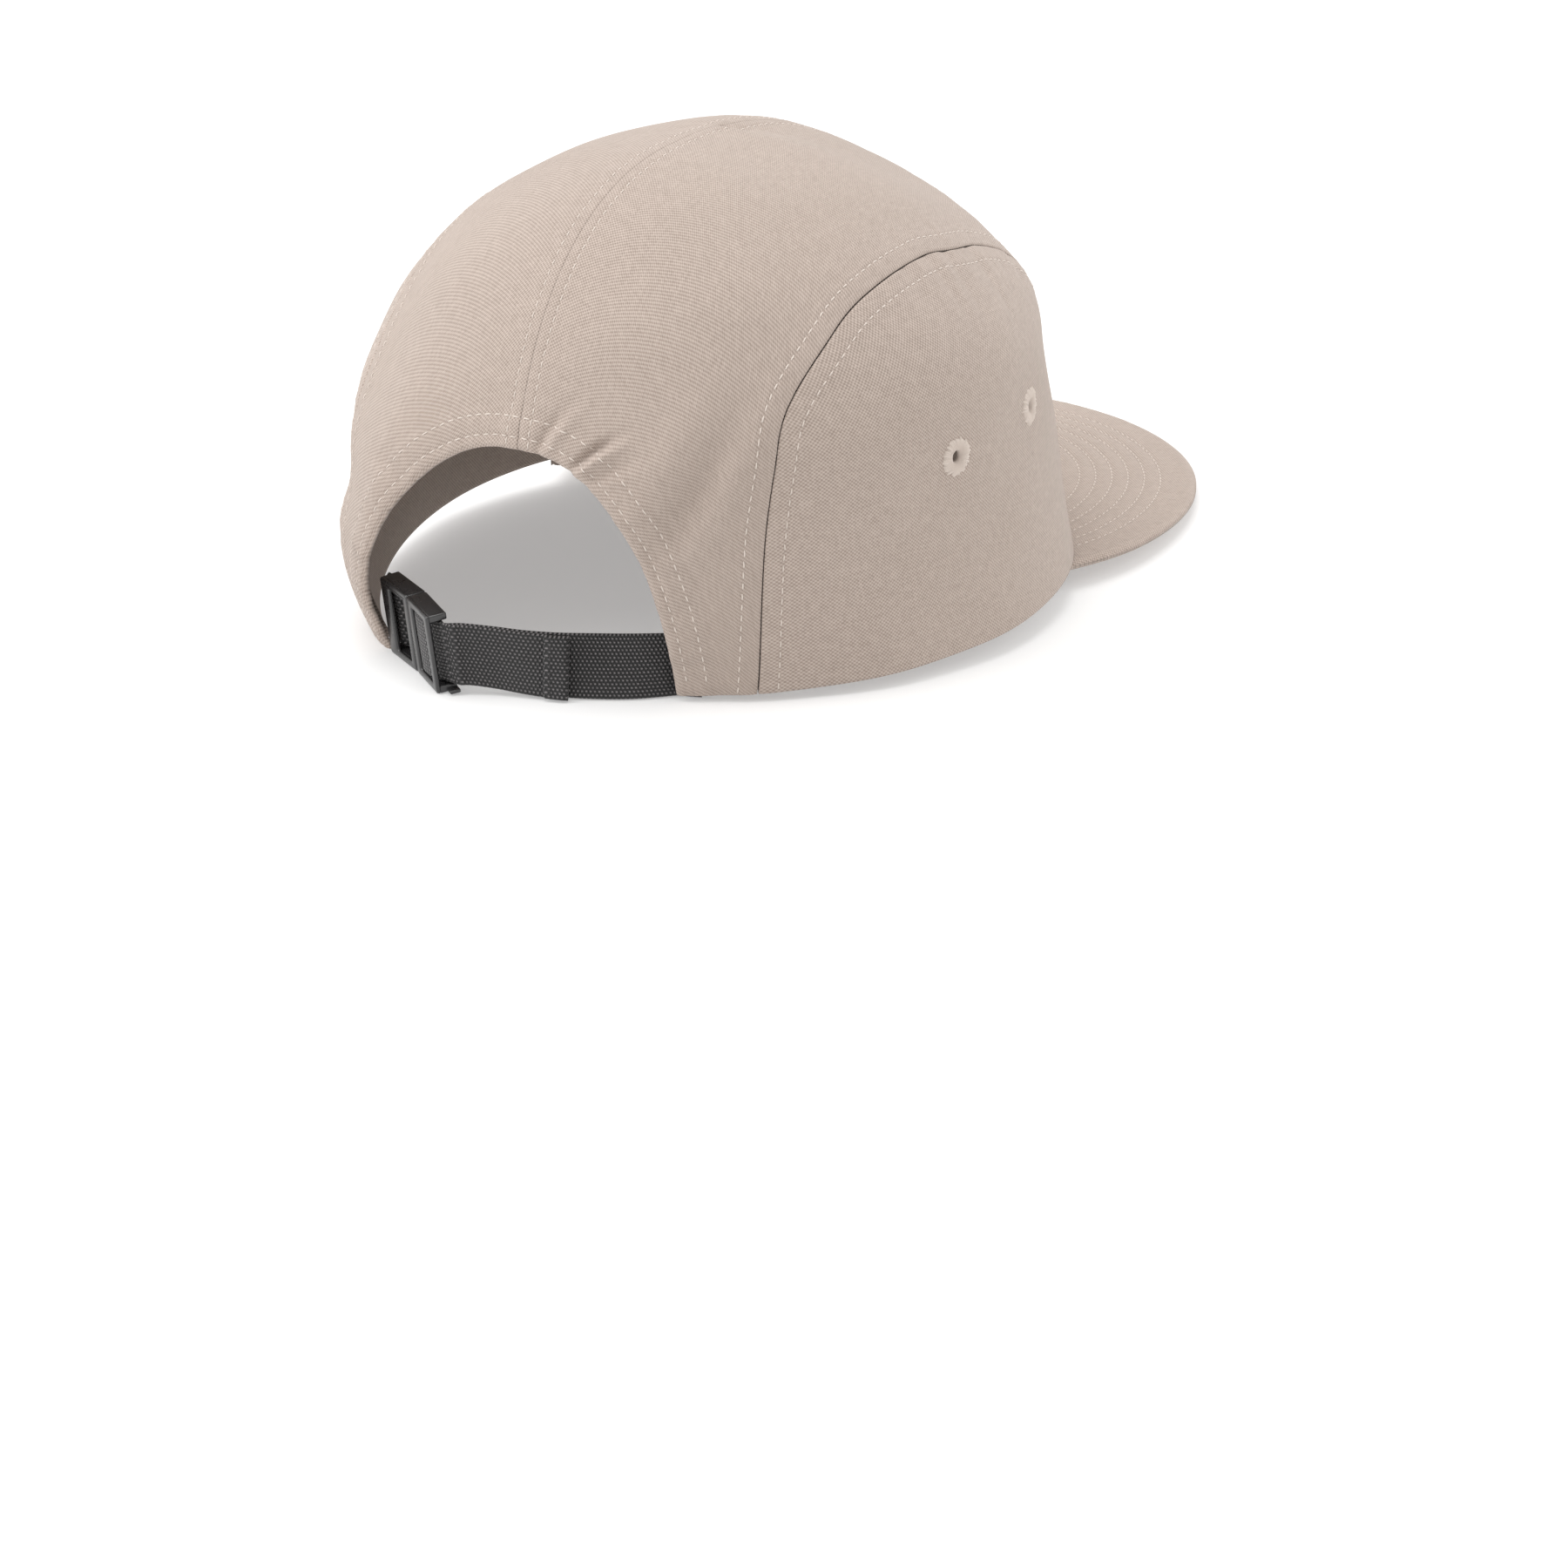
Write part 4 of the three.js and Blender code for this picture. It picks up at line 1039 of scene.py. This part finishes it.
# %% [markdown]
# An eyelet is a ring of buttonhole stitches: threads that run out from a small hole, side by side,
# with ragged outer ends. The ring is one closed surface, ribbed by the threads.

# %% Eyelets
EYELET_RADIUS, EYELET_HOLE, EYELET_PROUD, EYELET_THREADS = 5.25, 1.5, 0.55, 52


def eyelet(side, name, y):
    """Turn round the ring and turn round its thread bundle, laid on the cloth's normal."""
    out = float(half_width(np.array(y), np.array(EYELET_HEIGHT)))
    here = np.array([side * out, y, EYELET_HEIGHT])
    normal = outward(here[None])[0]
    middle = here + normal * (float(fold_at(here[None])[0]) - 0.8)
    turn = np.linspace(0, 2 * math.pi, EYELET_THREADS * 6 + 1)[:, None]
    around = np.linspace(0, 2 * math.pi, 25)[None, :]
    rng = np.random.default_rng(int(abs(y) * 10) + side)
    thread = np.minimum((turn / (2 * math.pi) * EYELET_THREADS).astype(int), EYELET_THREADS - 1)
    ragged = rng.normal(0, 0.28, EYELET_THREADS)[thread]
    rib = np.abs(np.sin(turn * EYELET_THREADS / 2))
    outer_edge = EYELET_RADIUS - 0.25 + ragged * 0.9
    middle_radius, span = (outer_edge + EYELET_HOLE) / 2, (outer_edge - EYELET_HOLE) / 2
    squash = np.sign(np.cos(around)) * np.abs(np.cos(around)) ** 0.7
    radius = middle_radius + span * squash
    height = (0.8 + EYELET_PROUD * (0.55 + 0.45 * rib) + 0.12 * ragged) * np.sin(around)
    first = unit(np.cross([0, 0, 1.0], normal))
    second = np.cross(normal, first)
    p = (middle + radius[..., None] * (np.cos(turn)[..., None] * first + np.sin(turn)[..., None] * second)
         + height[..., None] * normal)
    rows, columns = p.shape[:2]
    faces = grid_faces(rows, columns)
    add_mesh(name, stand(p).reshape(-1, 3), faces, None, eyelet_thread, (name,))


for side, hand in ((-1, "right"), (1, "left")):
    for end, y in EYELET_PLACES:
        eyelet(side, "eyelet_" + hand + "_" + end, y)

# %% [markdown]
# Webbing is woven from coarse shiny yarns. In rows across its width short yarn loops show, each row
# shifted by half a loop, so the pattern is a small brick bond that follows the strap's own UV map.
# The loops' tops are painted light grey on the black yarn: a painted highlight.

# %% Webbing and plastic materials
YARN_LENGTH, YARN_ROW = 1.05, 0.92


def webbing_material():
    """Height = |sin| along the row times |sin| across the rows, every other row half a step on."""
    material, tree, shader = node_material("black_webbing")
    vector, u, v = cloth_coordinates(tree)
    row = math_node(tree, "DIVIDE", v, YARN_ROW * MM)
    odd = math_node(tree, "MODULO", math_node(tree, "FLOOR", row), 2.0)
    shift = math_node(tree, "MULTIPLY", odd, 0.5)
    along = math_node(tree, "ADD", math_node(tree, "DIVIDE", u, YARN_LENGTH * MM), shift)
    swell_u, swell_v = (
        math_node(tree, "ABSOLUTE", math_node(tree, "SINE", math_node(tree, "MULTIPLY", way, math.pi)))
        for way in (along, row)
    )
    loops = math_node(tree, "MULTIPLY", swell_u, swell_v)
    fine = noise(tree, vector, 900, 3)
    shine = math_node(tree, "MULTIPLY", fine, 1.9)
    # Painted highlight: the tops of the loops, sharpened by a power and varied by noise, are mixed towards
    # light grey.
    painted_loop_highlight = math_node(tree, "MULTIPLY", math_node(tree, "POWER", loops, 3.2), shine)
    tree.links.new(colour_mix(tree, painted_loop_highlight, (0.003, 0.003, 0.0033), (0.19, 0.175, 0.18)),
                   shader.inputs["Base Color"])
    shader.inputs["Roughness"].default_value = 0.5
    shader.inputs["Specular IOR Level"].default_value = 0.45
    shader.inputs["Sheen Weight"].default_value = 0.12
    height = math_node(tree, "ADD", loops, math_node(tree, "MULTIPLY", fine, 0.4))
    add_bump(tree, shader, height, 0.9, 0.0004)
    return material


def plastic_material():
    """Moulded satin plastic: nearly black, with a faint uneven gloss and a fine spark-eroded grain."""
    material, tree, shader = node_material("black_plastic")
    place = tree.nodes.new("ShaderNodeTexCoord").outputs["Object"]
    grain = noise(tree, place, 3800, 2)
    patch = noise(tree, place, 220, 4)
    tree.links.new(colour_mix(tree, patch, (0.012, 0.012, 0.013), (0.028, 0.027, 0.028)),
                   shader.inputs["Base Color"])
    gloss = math_node(tree, "ADD", math_node(tree, "MULTIPLY", patch, 0.2), 0.18)
    tree.links.new(gloss, shader.inputs["Roughness"])
    shader.inputs["Specular IOR Level"].default_value = 0.75
    add_bump(tree, shader, grain, 0.18, 0.00008)
    return material


webbing = webbing_material()
plastic = plastic_material()
webbing_thread = thread_material("webbing_thread", (0.03, 0.028, 0.029), 0.1)

# %% [markdown]
# The buckle's places are easiest in its own frame: along it, out to the front and up. The frame half
# is bent a little against the catch half at the split, and both lean outwards.

# %% Buckle frame
WEB_WIDTH, WEB = 16, 1.2
BUCKLE_HEIGHT, BUCKLE_DEPTH, FRAME_LENGTH, CATCH_LENGTH = 20.5, 5.4, 16.2, 15.8
RAIL, STILE, SPLIT_STILE, CATCH_STILE = 1.9, 4.6, 3, 3
END_BAR, END_BAR_DEPTH, MIDDLE_BAR, MIDDLE_BAR_DEPTH, FOOT_REACH = 2.8, 1.8, 3, 1.4, 2.2
BUCKLE_LEAN, BUCKLE_YAW, BUCKLE_BEND = 7.5, 143, 6.5
BUCKLE_CORNER = np.array([16.0, 109.0, 0.0])
WINDOW_LOW, WINDOW_HIGH = RAIL, BUCKLE_HEIGHT - RAIL


def buckle_axes(bend):
    """Along to the right end, out to the front and up, leaning out about the first."""
    yaw, lean = math.radians(BUCKLE_YAW + bend), math.radians(BUCKLE_LEAN)
    along = np.array([math.cos(yaw), math.sin(yaw), 0])
    out = np.array([math.sin(yaw), -math.cos(yaw), 0])
    up = out * math.sin(lean) + np.array([0, 0, math.cos(lean)])
    front = out * math.cos(lean) - np.array([0, 0, math.sin(lean)])
    return np.stack([along, front, up])


SPLIT = BUCKLE_CORNER - CATCH_LENGTH * buckle_axes(0)[0] + CENTRING


def in_buckle(points, bend=0.0):
    """Places in the buckle's frame as places on the ground."""
    return SPLIT + np.asarray(points, float) @ buckle_axes(bend)


# %% [markdown]
# Every bar of the buckle is a block with rounded edges. It is a small ball whose eight pieces are
# pulled apart to the block's corners: each point is a corner's centre plus a step on the ball.

# %% Buckle shapes
SHARP_EDGE = math.radians(50)


def rounded_block(low, high, radius=0.42, n=3):
    """Corner centre + radius times a direction, by longitude and latitude, each quarter on its own."""
    low, high = np.array(low, float), np.array(high, float)
    quarter = np.linspace(0, math.pi / 2, n + 1)
    lon = np.concatenate([quarter + q * math.pi / 2 for q in range(4)])
    sign_x = np.repeat([1, -1, -1, 1], n + 1)
    sign_y = np.repeat([1, 1, -1, -1], n + 1)
    lat = np.concatenate([quarter - math.pi / 2, quarter])[:, None]
    sign_z = np.repeat([-1, 1], n + 1)[:, None]
    level = np.cos(lat)
    ball = np.stack(np.broadcast_arrays(level * np.cos(lon), level * np.sin(lon), np.sin(lat)), -1)
    signs = np.stack(np.broadcast_arrays(sign_x, sign_y, sign_z), -1)
    points = (low + high) / 2 + signs * ((high - low) / 2 - radius) + radius * ball
    rows, columns = points.shape[:2]
    faces = grid_faces(rows, columns, around=True).tolist()
    faces += [list(range(columns)), list(range((rows - 1) * columns, rows * columns))[::-1]]
    return points.reshape(-1, 3), faces


def rounded_outline(low, high, radius, n=4):
    """A rectangle with round corners, as quarter circles about the corners' centres."""
    turn = np.linspace(0, math.pi / 2, n + 1)
    parts = []
    for q, (sx, sy) in enumerate(((1, 1), (-1, 1), (-1, -1), (1, -1))):
        cx = high[0] - radius if sx > 0 else low[0] + radius
        cy = high[1] - radius if sy > 0 else low[1] + radius
        parts.append(np.stack([cx + radius * np.cos(turn + q * math.pi / 2),
                               cy + radius * np.sin(turn + q * math.pi / 2)], -1))
    return np.concatenate(parts)


def window_plate(outer, inner, depth, edge=0.5):
    """A plate with a window: a rounded section carried round between two outlines, x and z, with y
    from -depth to 0."""
    section = (
        (0, edge, -depth), (0, 0, -depth + edge), (0, 0, -edge), (0, 0.3 * edge, -0.3 * edge), (0, edge, 0),
        (1, edge, 0), (1, 0.3 * edge, -0.3 * edge), (1, 0, -edge), (1, 0, -depth + edge), (1, edge, -depth),
    )
    rings = []
    for side, inset, y in section:
        (x0, z0), (x1, z1) = inner if side else outer
        grow = inset if side else -inset
        line = rounded_outline((x0 - grow, z0 - grow), (x1 + grow, z1 + grow), 0.9 if side else 0.7)
        rings.append(np.stack([line[:, 0], np.full(len(line), float(y)), line[:, 1]], -1))
    points = np.stack(rings)
    faces = grid_faces(*points.shape[:2], around=True, closed=True)
    return points.reshape(-1, 3), faces.tolist()


def gathered(shapes):
    """Several closed shapes as one list of points and faces."""
    points, faces, count = [], [], 0
    for shape_points, shape_faces in shapes:
        points.append(shape_points)
        faces += [[k + count for k in face] for face in shape_faces]
        count += len(shape_points)
    return np.concatenate(points), faces


def moulded(name, shapes, bend):
    """A buckle half from its bars, each flat on its faces and soft on its edges."""
    points, faces = gathered(shapes)
    piece = add_mesh(name, in_buckle(points, bend), faces, None, plastic, (name,))
    piece.data.set_sharp_from_angle(angle=SHARP_EDGE)


# %% [markdown]
# The frame half is a front plate with an open window, two deep rails and a deep stile at the split.
# The catch half is the same with a bar at its end, and a bar in the middle that the strap goes round.

# %% Buckle
PLATE = 1.3
TAB_BAR_START, TAB_BAR_WIDTH, TAB_BAR_DEPTH = 2, 1.8, 0.6
TAB_FRONT = -END_BAR_DEPTH - PIECE_GAP - WEB / 2
MIDDLE_START = CATCH_STILE + WEB + 2 * PIECE_GAP
MIDDLE_DEPTH = -PIECE_GAP - WEB - PIECE_GAP - MIDDLE_BAR_DEPTH / 2


def buckle():
    """Both halves, from the sizes of their stiles, rails and bars."""
    back = -BUCKLE_DEPTH
    left, split = -FRAME_LENGTH, -PIECE_GAP
    bar = TAB_FRONT - WEB / 2 - PIECE_GAP
    moulded("buckle_frame", [
        window_plate(((left, 0), (split, BUCKLE_HEIGHT)),
                     ((left + STILE, WINDOW_LOW), (-SPLIT_STILE, WINDOW_HIGH)), PLATE),
        rounded_block((left + 0.05, back, 0.05), (split - 0.05, -0.8, WINDOW_LOW - 0.05)),
        rounded_block((left + 0.05, back, WINDOW_HIGH + 0.05), (split - 0.05, -0.8, BUCKLE_HEIGHT - 0.05)),
        rounded_block((-SPLIT_STILE + 0.05, back + 0.1, 0.5), (split - 0.1, -0.9, BUCKLE_HEIGHT - 0.5)),
        rounded_block((left + TAB_BAR_START, bar - TAB_BAR_DEPTH, 1.2),
                      (left + TAB_BAR_START + TAB_BAR_WIDTH, bar, BUCKLE_HEIGHT - 1.2), 0.25),
        rounded_block((left + 1.2, -0.5, WINDOW_HIGH + 0.45), (split - 1.6, 0.18, WINDOW_HIGH + 0.85), 0.18),
    ], BUCKLE_BEND)
    right = CATCH_LENGTH
    moulded("buckle_catch", [
        window_plate(((0, 0), (right, BUCKLE_HEIGHT)),
                     ((CATCH_STILE, WINDOW_LOW), (right - END_BAR, WINDOW_HIGH)), PLATE - 0.05),
        rounded_block((0.05, back, 0.05), (right - 0.05, -0.8, WINDOW_LOW - 0.05)),
        rounded_block((0.05, back, WINDOW_HIGH + 0.05), (right - 0.05, -0.8, BUCKLE_HEIGHT - 0.05)),
        rounded_block((0.1, back + 0.1, 0.5), (CATCH_STILE - 0.05, -0.9, BUCKLE_HEIGHT - 0.5)),
        rounded_block((MIDDLE_START, MIDDLE_DEPTH - MIDDLE_BAR_DEPTH / 2, 1.2),
                      (MIDDLE_START + MIDDLE_BAR, MIDDLE_DEPTH + MIDDLE_BAR_DEPTH / 2, BUCKLE_HEIGHT - 1.2)),
        rounded_block((right - 0.8, back, 0.02), (right + FOOT_REACH, -BUCKLE_DEPTH / 2, 1.0), 0.3),
    ], 0.0)


buckle()

# %% [markdown]
# A strap is a flat section carried along a path on edge: round at both selvedges, and a little
# thicker there. Its path is a smooth curve through a few stations, each step a cubic between two.

# %% Straps


def smooth_path(points, count):
    """Even places along cubics through the points, whose slopes come from their neighbours."""
    points = np.asarray(points, float)
    t = np.concatenate([[0], np.cumsum(np.linalg.norm(np.diff(points, axis=0), axis=1))])
    slope = np.gradient(points, t, axis=0)
    at = np.linspace(0, t[-1], count)
    i = np.clip(np.searchsorted(t, at, side="right") - 1, 0, len(t) - 2)
    h = (t[i + 1] - t[i])[:, None]
    s = ((at - t[i]) / (t[i + 1] - t[i]))[:, None]
    return ((2 * s**3 - 3 * s**2 + 1) * points[i] + (s**3 - 2 * s**2 + s) * h * slope[i]
            + (3 * s**2 - 2 * s**3) * points[i + 1] + (s**3 - s**2) * h * slope[i + 1])


LEVEL = np.array([1, 1, 0])
UPRIGHT = np.array([0, 0, 1.0])


def sideways_from(places):
    """The level direction to the left of a path at each of its places."""
    along = unit(np.gradient(places, axis=0) * LEVEL)
    return np.stack([-along[:, 1], along[:, 0], 0 * along[:, 0]], -1)


def webbing_piece(name, places, ups, thickness, face_points=41):
    """Carries the flat section along the places: its height goes up, its thickness to both sides."""
    side = sideways_from(places)
    s = np.concatenate([np.linspace(-1, 1, face_points), np.linspace(1, -1, face_points)])
    face = np.repeat([1.0, -1.0], face_points)
    body = (1 - np.abs(s) ** 16) ** 0.5 * (1 + 0.18 * bump(np.abs(s) - 0.93, 0.05))
    body = np.minimum(body, 1.0)
    half = face[None, :] * body[None, :] * thickness[:, None] / 2
    height = (s[None, :, None] + 1) / 2 * WEB_WIDTH
    points = places[:, None] + side[:, None] * half[..., None] + ups[:, None] * height
    rows, columns = points.shape[:2]
    run = np.concatenate([[0], np.cumsum(np.linalg.norm(np.diff(places, axis=0), axis=1))])
    uv = np.stack(np.broadcast_arrays(run[:, None], s[None, :] * WEB_WIDTH / 2), -1)
    end = np.arange(face_points - 1)[:, None] * [1, 1, -1, -1] + [0, 1, columns - 2, columns - 1]
    faces = np.concatenate([grid_faces(rows, columns, around=True), end, end + (rows - 1) * columns])
    add_mesh(name, points.reshape(-1, 3), faces, uv.reshape(-1, 2), webbing, (name,))


STRAP_SEAT, STRAP_LIFT, STRAP_BOW = 6, 0.3, 8
# Share of the way to the buckle, out from the straight line as a share of the bow, share of the lift
STRAP_ROUTE = np.array([
    (0.06, -0.26, 0), (0.19, 0.02, 0), (0.34, 0.14, 0), (0.5, 0.14, 0.05),
    (0.66, 0.0, 0.25), (0.81, -0.14, 0.6), (0.93, -0.1, 0.9),
])
TAIL_REACH, HEM_LENGTH = 29, 6
STRAP_STEPS, TAIL_FIRST_STEP = 170, 157
# From where to where along the strap it turns from upright to the buckle's lean, as shares
LEAN_FROM, LEAN_OVER = 0.55, 0.35
# Where the slack strap leans inwards at its upper edge: share of its way, span and slope
SLACK_AT, SLACK_SPAN, SLACK_LEAN = 0.36, 0.2, 0.32


def seat_places(side, arch, height):
    """Where a strap lies against the inside of an arch corner."""
    length = np.array([STRAP_SEAT, STRAP_SEAT / 2, 0.0])
    inset = CLOTH_WALL + PIECE_GAP + WEB / 2 + (STRAP_SEAT - length) / 8
    p = stand(rim_place(side * turn_behind(arch, length), inset, 0.0))
    p[:, 2] = height
    return p


def strap():
    """From inside the right corner to the buckle, round the middle bar, and back as the tail."""
    up_there = buckle_axes(0)[2]
    layer = WEB + PIECE_GAP
    front = -PIECE_GAP - WEB / 2
    rear = MIDDLE_DEPTH - MIDDLE_BAR_DEPTH / 2 - PIECE_GAP - WEB / 2
    behind_end = -END_BAR_DEPTH - PIECE_GAP - WEB / 2
    low = WINDOW_LOW + PIECE_GAP

    def held(x, y):
        """A place of the strap's lower edge in the catch half."""
        return in_buckle([x, y, low])

    exit_place = held(CATCH_LENGTH + PIECE_GAP, behind_end - layer)
    start = tip(np.array([-ARCH_RIGHT, corner_back(ARCH_RIGHT), 0.0])) * LEVEL
    line = (exit_place - start) * LEVEL
    sideways = unit(np.array([-line[1], line[0], 0]))
    main = start + STRAP_ROUTE[:, :1] * line + STRAP_ROUTE[:, 1:2] * STRAP_BOW * sideways
    main[:, 2] = STRAP_LIFT + STRAP_ROUTE[:, 2] * (exit_place[2] - STRAP_LIFT)
    seat = seat_places(-1, ARCH_RIGHT, STRAP_LIFT)
    free = smooth_path([*seat, *main, exit_place, held(CATCH_LENGTH - END_BAR, rear)], STRAP_STEPS)
    way = np.linspace(0, 1, STRAP_STEPS)
    share = np.clip((way - LEAN_FROM) / LEAN_OVER, 0, 1)
    share = (share**2 * (3 - 2 * share))[:, None]
    ups = unit((1 - share) * UPRIGHT + share * up_there)
    turn = np.linspace(0, math.pi, 13)
    middle = CATCH_STILE + PIECE_GAP + WEB / 2 + PIECE_GAP
    start_x = MIDDLE_START + 0.2
    round_bar = np.sin(turn) * (start_x - middle + PIECE_GAP)
    forward = (front - rear) * (1 - np.cos(turn)) / 2
    bend = [held(start_x - x, rear + y) for x, y in zip(round_bar, forward)]
    over = smooth_path([bend[-1], held(MIDDLE_START + MIDDLE_BAR, front),
                        held(CATCH_LENGTH - END_BAR - 1.2, (front + behind_end) / 2),
                        held(CATCH_LENGTH - END_BAR, behind_end)], 16)[1:]
    away = sideways_from(free)
    slack = bump(way - SLACK_AT, SLACK_SPAN)[:, None]
    ups = unit(ups - SLACK_LEAN * slack * away)
    travelled = np.linalg.norm(free - exit_place, axis=1)
    kept = np.nonzero((travelled < TAIL_REACH) & (np.arange(STRAP_STEPS) < TAIL_FIRST_STEP))[0][::-1]
    hem = np.clip((travelled[kept] - (TAIL_REACH - HEM_LENGTH)) / 0.8, 0, 1)
    tail_thickness = WEB * (1 + 0.95 * hem)
    tail_thickness[-3:] *= (0.97, 0.8, 0.45)
    tail = free[kept] + away[kept] * (layer + WEB * 0.475 * hem)[:, None]
    places = np.concatenate([free, bend, over, tail])
    fixed = np.broadcast_to(up_there, (len(bend) + len(over), 3))
    every_up = np.concatenate([ups, fixed, ups[kept]])
    thickness = np.concatenate([np.full(len(places) - len(tail), WEB), tail_thickness])
    webbing_piece("strap", places, every_up, thickness)
    reached = np.argmin(np.abs(travelled[kept] - (TAIL_REACH - HEM_LENGTH + 1.4)))
    at, up, out = tail[reached], ups[kept][reached], away[kept][reached]
    row = at + up * np.linspace(1, WEB_WIDTH - 1, 30)[:, None] + out * (WEB * 0.9)
    sew("webbing_stitches", row, np.broadcast_to(out, row.shape), 2.2, 1.9, 0.4)


def tab():
    """From inside the left corner into the frame half and round its bar."""
    left = -FRAME_LENGTH
    up = buckle_axes(BUCKLE_BEND)[2]
    low = WINDOW_LOW + PIECE_GAP
    radius = WEB / 2 + PIECE_GAP + TAB_BAR_DEPTH / 2
    end = left + TAB_BAR_START + TAB_BAR_WIDTH

    def held(x, y):
        """A place of the tab's lower edge in the frame half."""
        return in_buckle([x, y, low], BUCKLE_BEND)

    seat = seat_places(1, ARCH_LEFT, WINDOW_LOW)
    inside = [held(x, TAB_FRONT) for x in (left + 0.6, left + TAB_BAR_START, end)]
    lead = smooth_path([*seat, *inside], 60)
    turn = np.linspace(0, math.pi, 15)[1:]
    loop = [held(end + math.sin(a) * radius, TAB_FRONT - radius * (1 - math.cos(a))) for a in turn]
    back = [held(x, TAB_FRONT - 2 * radius) for x in np.linspace(end, left + TAB_BAR_START, 5)[1:]]
    places = np.concatenate([lead, loop, back])
    share = np.clip((np.arange(len(places)) - 15) / 30, 0, 1)[:, None]
    ups = unit((1 - share) * UPRIGHT + share * up)
    webbing_piece("strap_tab", places, ups, np.full(len(places), WEB))


strap()
tab()
make_stitches("webbing_stitches", webbing_thread)
